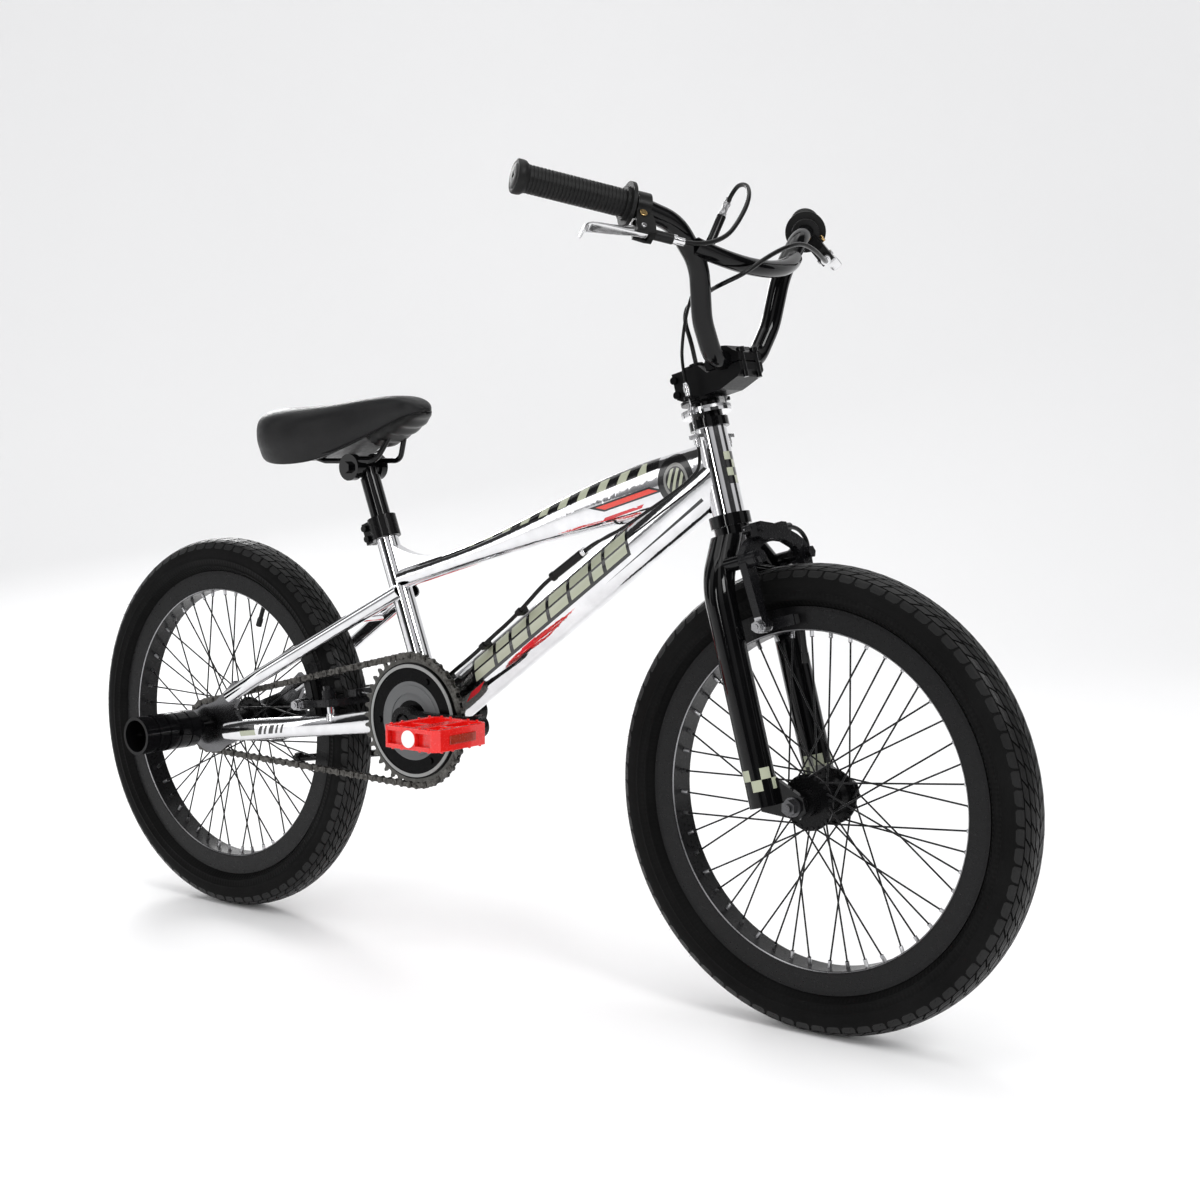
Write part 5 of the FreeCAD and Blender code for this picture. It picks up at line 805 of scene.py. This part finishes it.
def whisker_piece(name, centre, material):
    """Short moulding hairs on the shoulders, placed by a fixed scatter."""
    verts, faces = [], []
    for k in range(PITCHES * 2):
        for sign in (-1, 1):
            wobble = math.sin(k * 12.9898 + sign * 4.1) * SCATTER
            chance = wobble - math.floor(wobble)
            if chance < 0.35:
                continue
            angle = (k + chance) * PITCH / 2
            p = sign * (0.93 if k % 2 else 0.80)
            foot = on_tyre(centre, p, angle, 1.7)
            out = on_tyre(centre, p, angle + (chance - 0.5) * 0.012, 5.0 + 1.2 * chance) - foot
            side = out.cross(ACROSS).normalized() * 0.00028
            other = out.cross(side).normalized() * 0.00028
            base = len(verts)
            for q in range(3):
                c, t = circle(q, 3)
                verts.append(foot + side * c + other * t)
            verts.append(foot + out * 0.95)
            faces += [(base + q, base + (q + 1) % 3, base + 3) for q in range(3)]
    return mesh_piece(name, verts, faces, material, False)


def tyre_pieces(end, centre, body, node):
    """One tyre's carcass, tread blocks and hairs."""
    name = end + "_tyre_carcass"
    carcass = carcass_piece(name, centre, "tyre_" + end)
    blocks = tread_piece(name + "_tread", centre, "tread_" + end)
    hairs = whisker_piece(name + "_whiskers", centre, "tyre_" + end)
    for piece in (carcass, blocks, hairs):
        face_outward(piece)
        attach(piece, body)
    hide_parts(node)


tyre_pieces("front", FRONT_AXLE, "front_wheel", "front_tyre")
tyre_pieces("rear", REAR_AXLE, "rear_wheel", "rear_tyre")

# Saddle ----------------------------------------------------------------------------------
# Distance ahead of the rear axle, half width, top and lower edge.
SADDLE = [
    (112.0, 33.0, 664.0, 641.0), (115.0, 45.0, 671.0, 628.0), (121.0, 55.0, 676.5, 619.0),
    (132.0, 64.0, 680.5, 612.5), (148.0, 71.0, 683.5, 609.0), (168.0, 74.0, 684.5, 607.5),
    (192.0, 71.5, 685.0, 608.5), (216.0, 62.0, 686.0, 612.0), (240.0, 49.5, 688.0, 620.0),
    (262.0, 39.5, 691.0, 629.5), (284.0, 32.5, 693.5, 639.0), (306.0, 28.5, 695.5, 648.0),
    (326.0, 26.5, 696.5, 656.0), (344.0, 25.0, 696.0, 663.0), (358.0, 21.5, 692.5, 667.5),
    (367.0, 16.5, 688.0, 670.5), (373.0, 10.5, 683.5, 672.5), (376.0, 4.5, 680.0, 675.0),
]
ROUND = 28


def saddle_section(x, half, top, low):
    """A closed ring: a full crown, bulging sides and an edge turned in under the seat."""
    points = []
    middle = (top + low) / 2 + (top - low) * 0.04
    up, down = top - middle, middle - low
    for k in range(ROUND):
        turn = 2 * math.pi * (k + 0.5) / ROUND - math.pi / 2
        c, s = math.cos(turn), math.sin(turn)
        if s >= 0:
            y = half * rounded(c, 0.62)
            z = middle + up * abs(s) ** 0.72
            z -= 1.4 * math.exp(-(y / (half * 0.35)) ** 2) * min(1.0, half / 60)
        else:
            y = half * rounded(c, 0.50)
            z = middle - down * abs(s) ** 0.85
            if abs(c) < 0.78:
                z = low + (0.78 - abs(c)) * 9.0
        points.append(at(x, y, z))
    return points


def saddle_cover_piece():
    """The padded cover, closed at tail and nose."""
    verts = []
    for x, half, top, low in SADDLE:
        verts += saddle_section(x, half, top, low)
    faces = skin(len(SADDLE), ROUND)
    for first, x, z in ((0, 110.6, 653.0), ((len(SADDLE) - 1) * ROUND, 376.8, 677.5)):
        tip = len(verts)
        verts.append(at(x, 0, z))
        for k in range(ROUND):
            pair = (first + k, first + (k + 1) % ROUND)
            faces.append((*(pair if first else reversed(pair)), tip))
    cover = mesh_piece("saddle_padding", verts, faces, "vinyl")
    subdivided(cover)
    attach(cover, "saddle")
    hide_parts("saddle_cover")


def seam_points():
    """The cover's lower edge on the left, from the tail to the nose and back on the right."""
    left = [at(222, 46.0, 624.0)]
    left += [at(x, half * 0.90, low + 2.5) for x, half, top, low in SADDLE[8:]]
    right = [Vector((p.x, -p.y, p.z)) for p in reversed(left)]
    return left + [at(377.0, 0, 675.5)] + right


def nose_base():
    """The ribbed underside that hangs below the nose."""
    verts, faces = [], []
    stations, across = 61, 13
    for i in range(stations):
        f = i / (stations - 1)
        x = 296.0 + 77.0 * f
        half = 27.0 * math.sqrt(1.0 - f ** 4) + 0.4
        top = 643.0 + 30.5 * f
        wave = 0.5 - 0.5 * math.cos(2 * math.pi * (f * 4.5 + 0.1))
        low = 634.5 + 37.0 * max(0.0, f - 0.05) ** 1.15 - 2.8 * wave
        low = top - max(0.2, top - low) * (1.0 - f ** 6)
        if f < 0.10:
            low = low + (top - low) * (1 - f / 0.10) ** 2 * 0.8
        for k in range(across):
            g = k / (across - 1) * 2 - 1
            sag = math.sqrt(max(0.0, 1 - g * g))
            verts.append(at(x, half * rounded(g, 0.9), top + 1.5 - (top + 1.5 - low) * sag ** 0.8))
    for i in range(stations - 1):
        for k in range(across - 1):
            a = i * across + k
            faces.append((a, a + across, a + across + 1, a + 1))
    piece = mesh_piece("saddle_nose_base", verts, faces, "black_plastic")
    solid = piece.modifiers.new("thick", "SOLIDIFY")
    solid.thickness = 0.0015
    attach(piece, "saddle")


saddle_cover_piece()
seam = cable_piece("saddle_edge_bead", seam_points(), 1.1, "black_plastic")
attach(seam, "saddle")
nose_base()

# Cables ----------------------------------------------------------------------------------
BAR = [at(834.6, 0, 724.8), at(834.6, 40, 724.8), at(838, 66, 765), at(843.5, 79, 822),
       at(841, 118, 862), at(826, 158, 875.5), at(754, 271, 902)]
GRIP_DIR = (BAR[6] - BAR[5]).normalized()
LEVER_FWD = Vector((GRIP_DIR.y, -GRIP_DIR.x, 0)).normalized()
LEVER_OUT = (LEVER_FWD * 24 - Vector((0, 0, 30))).normalized()
LEVER_OUT = (LEVER_OUT - GRIP_DIR * LEVER_OUT.dot(GRIP_DIR)).normalized()
LEVER_AXIS = GRIP_DIR.cross(LEVER_OUT)


def lever_point(u, v, w=0.0, side=1):
    """A point in millimetres along the grip, away from it and along the lever's pivot."""
    p = BAR[5] + (GRIP_DIR * (u + 1.0) + LEVER_OUT * v + LEVER_AXIS * w) * MM
    return Vector((p.x, p.y * side, p.z))


def held(name, points, radius, body, material="cable"):
    """A cable that rides on a body."""
    piece = cable_piece(name, points, radius, material)
    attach(piece, body)
    return piece


def turned(name, origin, axis, profile, body, material, steps=40):
    """A turned part: profile is (distance along axis, radius) in millimetres."""
    axis = axis.normalized()
    side = axis.orthogonal().normalized()
    other = axis.cross(side)
    verts = []
    for along, r in profile:
        for k in range(steps):
            c, t = circle(k, steps)
            verts.append(origin + (axis * along + (side * c + other * t) * r) * MM)
    faces = skin(len(profile), steps)
    faces.append(tuple(reversed(range(steps))))
    faces.append(tuple(range((len(profile) - 1) * steps, len(profile) * steps)))
    piece = mesh_piece(name, verts, faces, material)
    bevelled(piece, 0.3)
    for polygon in piece.data.polygons:
        polygon.use_smooth = len(polygon.vertices) == 4
    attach(piece, body)


SPLIT_DIR = Vector((-0.25, -0.32, -0.91)).normalized()
SPLIT_TOP = at(832, -17, 884)
SPLIT_END = SPLIT_TOP + SPLIT_DIR * 0.038
LOW_SPLIT_DIR = Vector((-0.834, 0, -0.551)).normalized()
LOW_SPLIT_TOP = at(645, -27, 511.5)
LOW_SPLIT_END = LOW_SPLIT_TOP + LOW_SPLIT_DIR * 0.057
CABLE_STOP = at(333, -5.5, 312)
CABLE_STOP_DIR = Vector((0.968, -0.25, 0)).normalized()


def front_cable():
    """The front brake's housing down through the steerer and its bare wire across the arms."""
    upper = [
        lever_point(-40.05, 36), lever_point(-62, 36), at(886, 84, 846), at(888, 52, 852),
        at(889, 18, 845), at(887, -18, 831), at(880, -48, 813), at(861, -60, 803),
        at(833, -47, 797), at(806, -26, 789), at(785, -17, 788), at(771.5, -6, 771),
        head(0, 0, 511), head(0, 0, 485), head(0, 0, 300),
    ]
    lower = [
        head(0, 0, 300), head(0, 0, 268), head(5, 6, 256), head(13, 15.5, 252.5),
        head(27, 32, 245), head(30, 48, 237), head(33, 64, 238), head(38, 77, 249),
        head(43, 79, 270), head(42, 64, 288), head(42, 44, 288),
    ]
    piece = held("front_brake_housing", upper, 2.5, "steering")
    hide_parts("front_brake_cable")
    held("front_brake_housing_low", lower, 2.5, "steering")
    held("front_brake_wire", [head(42, 44, 288), head(42, 0, 288), head(42, -41, 288)], 0.8,
         "steering", "steel")


def upper_cables():
    """The detangler's upper cable, one housing split into two."""
    single = [
        lever_point(-40.05, 36, 0, -1), lever_point(-62, 36, 0, -1), at(885, -90, 846),
        at(884, -64, 866), at(882, -42, 890), at(869, -25, 908), at(849, -15, 911),
        SPLIT_TOP - SPLIT_DIR * 0.014, SPLIT_TOP,
    ]
    piece = held("gyro_upper_housing", single, 2.5, "steering")
    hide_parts("gyro_upper_cables")
    side = Vector((0.1, -0.9, 0.3)).normalized()
    side = (side - SPLIT_DIR * side.dot(SPLIT_DIR)).normalized()
    right, left = SPLIT_END + side * 0.0026, SPLIT_END - side * 0.0026
    held("gyro_upper_right", [right, right + SPLIT_DIR * 0.014, at(813, -39, 812), at(801, -41, 780),
         at(794, -40, 750), head(5, -35, 483), head(5, -35, 454)], 1.8, "steering")
    held("gyro_upper_left", [left, left + SPLIT_DIR * 0.014, at(800, -9, 801), at(782, 10, 772),
         at(776, 27, 744), head(5, 35, 486), head(5, 35, 454)], 1.8, "steering")
    turned("upper_splitter", SPLIT_TOP, SPLIT_DIR,
           [(5, 3.2), (5, 4.8), (6, 5.1), (33, 5.1), (34, 5.6), (37.4, 5.6), (38, 5.1)],
           "steering", "gloss_black")
    turned("upper_splitter_ferrule", SPLIT_TOP, SPLIT_DIR * -1,
           [(-5.5, 4.3), (-2, 4.3), (-1.5, 3.6), (6, 3.5), (6.6, 4.2), (9.5, 4.2), (10, 3.4),
            (15, 3.3), (15.4, 2.9)],
           "steering", "steel")


def rear_cables():
    """The detangler's lower cable, two housings joined into one, and the rear straddle wire."""
    right_in, left_in = LOW_SPLIT_TOP - ACROSS * 0.0024, LOW_SPLIT_TOP + ACROSS * 0.0024
    right = [
        head(0, -30, 397), head(0, -30, 372), at(799, -29.5, 597), at(769, -29, 578),
        at(738, -28.5, 560), at(708, -29, 543), at(681, -29.4, 529),
        right_in - LOW_SPLIT_DIR * 0.018, right_in,
    ]
    left = [
        head(0, 30, 397), head(0, 30, 372), at(799, 29.5, 597), at(769, 29, 578),
        at(740, 29, 561), at(714, 26, 548.5), at(692, 17, 542), at(673, 0, 535.6),
        left_in - LOW_SPLIT_DIR * 0.020, left_in,
    ]
    single = [
        LOW_SPLIT_END, LOW_SPLIT_END + LOW_SPLIT_DIR * 0.016, at(560, -27, 449),
        at(531, -26.5, 424.5), at(502, -26, 404), at(472, -26, 380.5), at(441, -27, 359),
        at(414, -27.5, 339), at(391, -29, 327), at(368, -25.5, 318.5),
        CABLE_STOP + CABLE_STOP_DIR * 0.018, CABLE_STOP,
    ]
    piece = held("rear_brake_housing", single, 2.5, "frame")
    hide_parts("rear_brake_cables")
    held("gyro_lower_right", right, 1.8, "frame")
    held("gyro_lower_left", left, 1.8, "frame")
    yoke = CABLE_STOP - CABLE_STOP_DIR * 0.0227
    up = Vector((-0.12, 0, 0.993)).normalized()
    ahead = ACROSS.cross(up)
    foot = at(247, 0, 283) + up * 0.0275
    ends = {"straddle_pull_wire": CABLE_STOP}
    for side, name in ((1, "left"), (-1, "right")):
        end = foot + ACROSS * (side * 0.032) + ahead * 0.0429 - up * (side * 0.005)
        ends["straddle_wire_" + name] = end
    for name, end in ends.items():
        held(name, [yoke, (yoke + end) / 2, end], 0.8, "frame", "steel")
    turned("straddle_yoke", yoke - UP * 0.004, UP,
           [(0, 4.4), (0.6, 5.0), (3.2, 5.0), (3.4, 3.9), (4.6, 3.9), (4.8, 5.0), (7.4, 5.0), (8, 4.4)],
           "frame", "steel")
    turned("lower_splitter_collar", LOW_SPLIT_TOP, LOW_SPLIT_DIR,
           [(-2.5, 4.3), (-2, 4.7), (3.2, 4.7), (3.6, 4.3)], "frame", "alu")


front_cable()
upper_cables()
rear_cables()


# Small parts -----------------------------------------------------------------------------
def lever_piece(side, name):
    """A forged lever: a thick eye, a long flat blade and a tip turned down."""
    stations = [
        (-7, 38.5, 3.0, 3.4), (-4, 37.5, 5.2, 4.4), (3, 36.2, 6.4, 4.4), (9, 37.0, 6.0, 4.4),
        (15, 39.0, 5.0, 4.6), (22, 41.2, 3.8, 5.2), (30, 43.0, 2.9, 6.0), (40, 44.6, 2.3, 6.6),
        (50, 46.0, 2.1, 7.0), (58, 47.6, 2.0, 7.2), (63.5, 50.4, 2.0, 7.2), (66.0, 55.0, 1.9, 7.2),
        (67.5, 60.5, 1.7, 6.8), (68.0, 62.5, 0.9, 6.0),
    ]
    verts = []
    ring = 16
    for i, (u, v, thick, wide) in enumerate(stations):
        before, after = stations[max(i - 1, 0)], stations[min(i + 1, len(stations) - 1)]
        run = Vector((after[0] - before[0], after[1] - before[1])).normalized()
        for k in range(ring):
            c, t = circle(k + 0.5, ring)
            out, wing = thick * rounded(c, 0.6), wide * rounded(t, 0.6)
            verts.append(lever_point(u - run.y * out, v + run.x * out, wing, side))
    faces = skin(len(stations), ring)
    faces += [tuple(reversed(range(ring))), tuple(range(len(verts) - ring, len(verts)))]
    if side < 0:
        faces = [tuple(reversed(face)) for face in faces]
    lever = mesh_piece("hand_lever_" + name, verts, faces, "alu")
    subdivided(lever)
    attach(lever, "lever_" + name)
    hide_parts("brake_lever_" + name)


lever_piece(1, "left")
lever_piece(-1, "right")


def pedal_piece(side, name):
    """A platform with an open frame, recessed end face, end cap, studs and side reflectors."""
    centre = PEDAL_CENTRES[name]
    verts, faces = [], []

    def place(x, y, z):
        return Vector((centre.x + x * MM, side * y * MM, centre.z + z * MM))

    def solid(first, last):
        """A closed solid between two matching outlines."""
        n, base = len(first), len(verts)
        verts.extend(first + last)
        faces.append(tuple(reversed(range(base, base + n))))
        faces.append(tuple(range(base + n, base + 2 * n)))
        for k in range(n):
            m = (k + 1) % n
            faces.append((base + k, base + m, base + n + m, base + n + k))

    def prism(outline, low, high):
        """An outline of (x, y) points raised from low to high."""
        solid(*([place(x, y, z) for x, y in outline] for z in (low, high)))

    def slab(x0, x1, y0, y1, low, high):
        prism([(x0, y0), (x1, y0), (x1, y1), (x0, y1)], low, high)

    def stud(x, y):
        """A short stud on the top face and one on the lower face."""
        for z in (-PEDAL_RISE - 1.8, PEDAL_RISE):
            rings = [circle(k, 12) for k in range(12)]
            solid(*([place(x + 1.7 * c, y + 1.7 * t, z + d) for c, t in rings] for d in (0.0, 1.8)))

    half, rise, cut, wall, bar = PEDAL_HALF, PEDAL_RISE, 7.0, 7.0, 5.0
    back = PEDAL_OUT - wall
    for end in (-1, 1):
        prism([(end * half, PEDAL_IN + cut), (end * half, back), (end * (half - wall), back),
               (end * (half - wall), PEDAL_IN + cut)], -rise, rise)
        prism([(end * half, back), (end * half, PEDAL_OUT - cut),
               (end * (half - cut), PEDAL_OUT), (end * (half - wall - 3), PEDAL_OUT),
               (end * (half - wall - 3), back)], -rise, rise)
        prism([(end * (half - cut), PEDAL_IN), (end * half, PEDAL_IN + cut),
               (end * (half - wall), PEDAL_IN + cut), (end * (half - wall), PEDAL_IN + wall),
               (0, PEDAL_IN + wall), (0, PEDAL_IN)], -rise, rise)
        slab(end * 8, end * (half - wall), 140.5, 147.5, -rise + 2, rise - 2)
        slab(end * half, end * (half + 1.6), PEDAL_IN + 24, PEDAL_OUT - 22, -5.0, 5.0)
        for z in (-rise, rise - bar):
            slab(end * 10, end * (half - wall - 3), back, PEDAL_OUT, z, z + bar)
        for y in (112, 130, 158, 176):
            stud(end * (half - 3.5), y)
        for x in (14, 28):
            for y in (PEDAL_IN + 3.5, PEDAL_OUT - 3.5):
                stud(end * x, y)
    slab(-half + wall, half - wall, back - 2.5, back, -rise, rise)
    slab(-10, 10, back, PEDAL_OUT, -rise, rise)
    slab(-9, 9, PEDAL_IN + wall, back - 2.5, -rise + 1.5, rise - 1.5)
    rings = [circle(k, 40) for k in range(40)]
    solid(*([place(10 * c, PEDAL_OUT + d, 10 * t) for c, t in rings] for d in (0.0, 1.5)))
    piece = mesh_piece("platform_" + name, verts, faces, "pedal_" + name, False)
    face_outward(piece)
    bevelled(piece, 0.7)
    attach(piece, "pedal_" + name)
    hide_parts("pedal_" + name)


pedal_piece(1, "left")
pedal_piece(-1, "right")


def small_parts():
    """Lever bolts and rivets, the grips' rounded ends and the rubber boot on the front wire."""
    for side, name in ((1, "left"), (-1, "right")):
        out = LEVER_AXIS.copy()
        out.y *= side
        place = lever_point(0.5, 17, 0, side)
        turned("clamp_bolt_" + name, place - out * 0.0094, out * -1 if side > 0 else out,
               [(0, 4.2), (2.6, 4.2), (3.2, 3.6), (3.2, 2.0), (1.6, 1.9)],
               "steering", "brass", 24)
        axis = lever_point(2.0, 36, 0, side)
        turned("pivot_rivet_" + name, axis - out * 0.0102, out,
               [(0, 2.4), (0.5, 3.0), (19.9, 3.0), (20.4, 2.4)],
               "steering", "steel", 24)
        tip = BAR[6] + GRIP_DIR * 0.0005
        tip.y *= side
        way = Vector((GRIP_DIR.x, GRIP_DIR.y * side, GRIP_DIR.z))
        turned("grip_end_" + name, tip - way * 0.0125, way,
               [(0, 15.0), (1.5, 15.8), (3.5, 17.3), (6, 17.8), (10.5, 17.8), (12, 17.0),
                (12.4, 14.2), (12.0, 13.6), (12.6, 12.6), (13.2, 2.2), (10.5, 2.0)],
               "steering", "grip", 48)
    turned("front_wire_boot", head(42, 44, 288), -ACROSS,
           [(0.2, 3.4), (4, 3.6), (6, 2.6), (7.5, 3.1), (9, 2.3), (10.5, 2.8), (12, 2.0),
            (13.5, 2.4), (18, 1.3)],
           "front_arm_right", "black_plastic", 24)


small_parts()


# Studio ----------------------------------------------------------------------------------
VIEW = Vector((-0.6167, 0.7827, -0.0847)).normalized()  # where the camera looks
VIEW_RIGHT = Vector((0.7855, 0.6189, 0.0)).normalized()
EYE = Vector((1.5285, -1.720, 0.640))
ROLL = math.radians(-0.26)
LENS_MM = 56.7
FLOOR_NEAR, FLOOR_FLAT, SWEEP_RADIUS, FLOOR_HALF, WALL_TOP = -9.0, 2.9, 3.0, 14.0, 9.0  # metres
FILL = (0.80, 0.80, 0.81)  # the even light that everything but reflections sees
PANELS_ROUND = 5.0  # tall soft panels around the room
PANEL_EDGES = (0.05, 0.55, 0.07, 1.15)  # wave low, wave high, gap brightness, panel brightness
SKY = ((0.02, (0.16, 0.16, 0.165)), (0.45, (0.62, 0.62, 0.63)), (0.90, (1.0, 1.0, 1.0)))
# Area lights: place, target, width, watts, height, all in metres.
LIGHTS = {
    "key_left": ((3.4, -1.0, 3.0), (0, 0, 0.4), 1.2, 54, 1.2),
    "overhead": ((-0.2, -0.2, 4.2), (0, 0, 0.3), 3.6, 60, 3.6),
    "rear_rim_light": ((-3.2, 1.8, 2.0), (0, 0, 0.5), 1.0, 36, 1.0),
    "front_strip": ((0.6, -3.8, 1.6), (0, 0, 0.4), 0.3, 22, 1.8),
    "side_strip": ((-2.8, -2.8, 1.3), (0, 0, 0.4), 0.8, 9, 2.4),
}


def floor_material():
    s = Shader("studio_floor")
    cloud = s.noise(0.6, 2.0, 0.4)
    s.set("Base Color", s.mix(cloud, (0.88, 0.88, 0.88), (0.91, 0.91, 0.91)))
    s.set("Roughness", s.remap(cloud, 0.3, 0.7, 0.55, 0.7))
    return s.material


def floor():
    """A pale sweep: flat under the bike and curved up far behind it."""
    verts, faces = [], []
    path = [(FLOOR_NEAR, 0.0)] + [(FLOOR_FLAT - 0.4 + 0.1 * k, 0.0) for k in range(5)]
    for k in range(1, 19):
        turn = math.radians(5 * k)
        path.append((FLOOR_FLAT + SWEEP_RADIUS * math.sin(turn), SWEEP_RADIUS * (1 - math.cos(turn))))
    path.append((FLOOR_FLAT + SWEEP_RADIUS, WALL_TOP))
    back = Vector((VIEW.x, VIEW.y, 0)).normalized()
    across = Vector((back.y, -back.x, 0))
    for d, z in path:
        for w in (-FLOOR_HALF, FLOOR_HALF):
            verts.append(back * d + across * w + UP * z)
    for k in range(len(path) - 1):
        faces.append((2 * k, 2 * k + 1, 2 * k + 3, 2 * k + 2))
    MATERIALS["floor"] = floor_material()
    mesh_piece("studio_floor", verts, faces, "floor")


def area_light(name, place, target, wide, power, tall):
    data = bpy.data.lights.new(name, "AREA")
    data.energy = power
    data.shape = "RECTANGLE"
    data.size, data.size_y = wide, tall
    lamp = bpy.data.objects.new(name, data)
    bpy.context.scene.collection.objects.link(lamp)
    lamp.location = place
    lamp.rotation_euler = (Vector(target) - Vector(place)).to_track_quat("-Z", "Y").to_euler()


def studio_world():
    """Even soft fill; polished parts see darker gaps between tall soft panels instead."""
    world = bpy.data.worlds.new("studio_world")
    world.use_nodes = True
    bpy.context.scene.world = world
    tree = world.node_tree

    def node(kind, inputs=(), **settings):
        """A node with its settings; inputs maps a socket to a value or to another socket."""
        made = tree.nodes.new(kind)
        for key, value in settings.items():
            setattr(made, key, value)
        for key, value in dict(inputs).items():
            if isinstance(value, bpy.types.NodeSocket):
                tree.links.new(value, made.inputs[key])
            else:
                made.inputs[key].default_value = value
        return made

    way = node("ShaderNodeTexCoord").outputs["Generated"]
    split = node("ShaderNodeSeparateXYZ", {0: way}).outputs
    turn = node("ShaderNodeMath", {0: split["Y"], 1: split["X"]}, operation="ARCTAN2").outputs[0]
    wave = node("ShaderNodeMath", {0: turn, 1: PANELS_ROUND}, operation="MULTIPLY").outputs[0]
    sine = node("ShaderNodeMath", {0: wave}, operation="SINE").outputs[0]
    panel = node("ShaderNodeMapRange", {0: sine, **dict(enumerate(PANEL_EDGES, 1))},
                 interpolation_type="SMOOTHSTEP").outputs[0]
    ramp = node("ShaderNodeValToRGB", {0: split["Z"]})
    stops = ramp.color_ramp.elements
    stops.new(SKY[1][0])
    for stop, (place, colour) in zip(stops, SKY):
        stop.position, stop.color = place, (*colour, 1)
    seen = node("ShaderNodeVectorMath", {0: ramp.outputs[0], "Scale": panel}, operation="SCALE")
    glossy = node("ShaderNodeLightPath").outputs["Is Glossy Ray"]
    mix = node("ShaderNodeMix", {"Factor": glossy, 6: (*FILL, 1), 7: seen.outputs[0]},
               data_type="RGBA")
    background = tree.nodes["Background"].inputs
    tree.links.new(mix.outputs[2], background["Color"])
    background["Strength"].default_value = 1.0


def camera():
    """The angle of the reference picture."""
    data = bpy.data.cameras.new("photo_angle")
    data.sensor_width = 36.0
    data.lens = LENS_MM
    data.clip_start = 0.05
    eye = bpy.data.objects.new("photo_angle", data)
    bpy.context.scene.collection.objects.link(eye)
    level_up = VIEW_RIGHT.cross(VIEW).normalized()
    right = VIEW_RIGHT * math.cos(ROLL) + level_up * math.sin(ROLL)
    up = level_up * math.cos(ROLL) - VIEW_RIGHT * math.sin(ROLL)
    turn = Matrix((right, up, -VIEW)).transposed().to_4x4()
    turn.translation = EYE
    eye.matrix_world = turn
    bpy.context.scene.camera = eye


floor()
for name, values in LIGHTS.items():
    area_light(name, *values)
studio_world()
camera()
bpy.context.scene.view_settings.view_transform = "Standard"
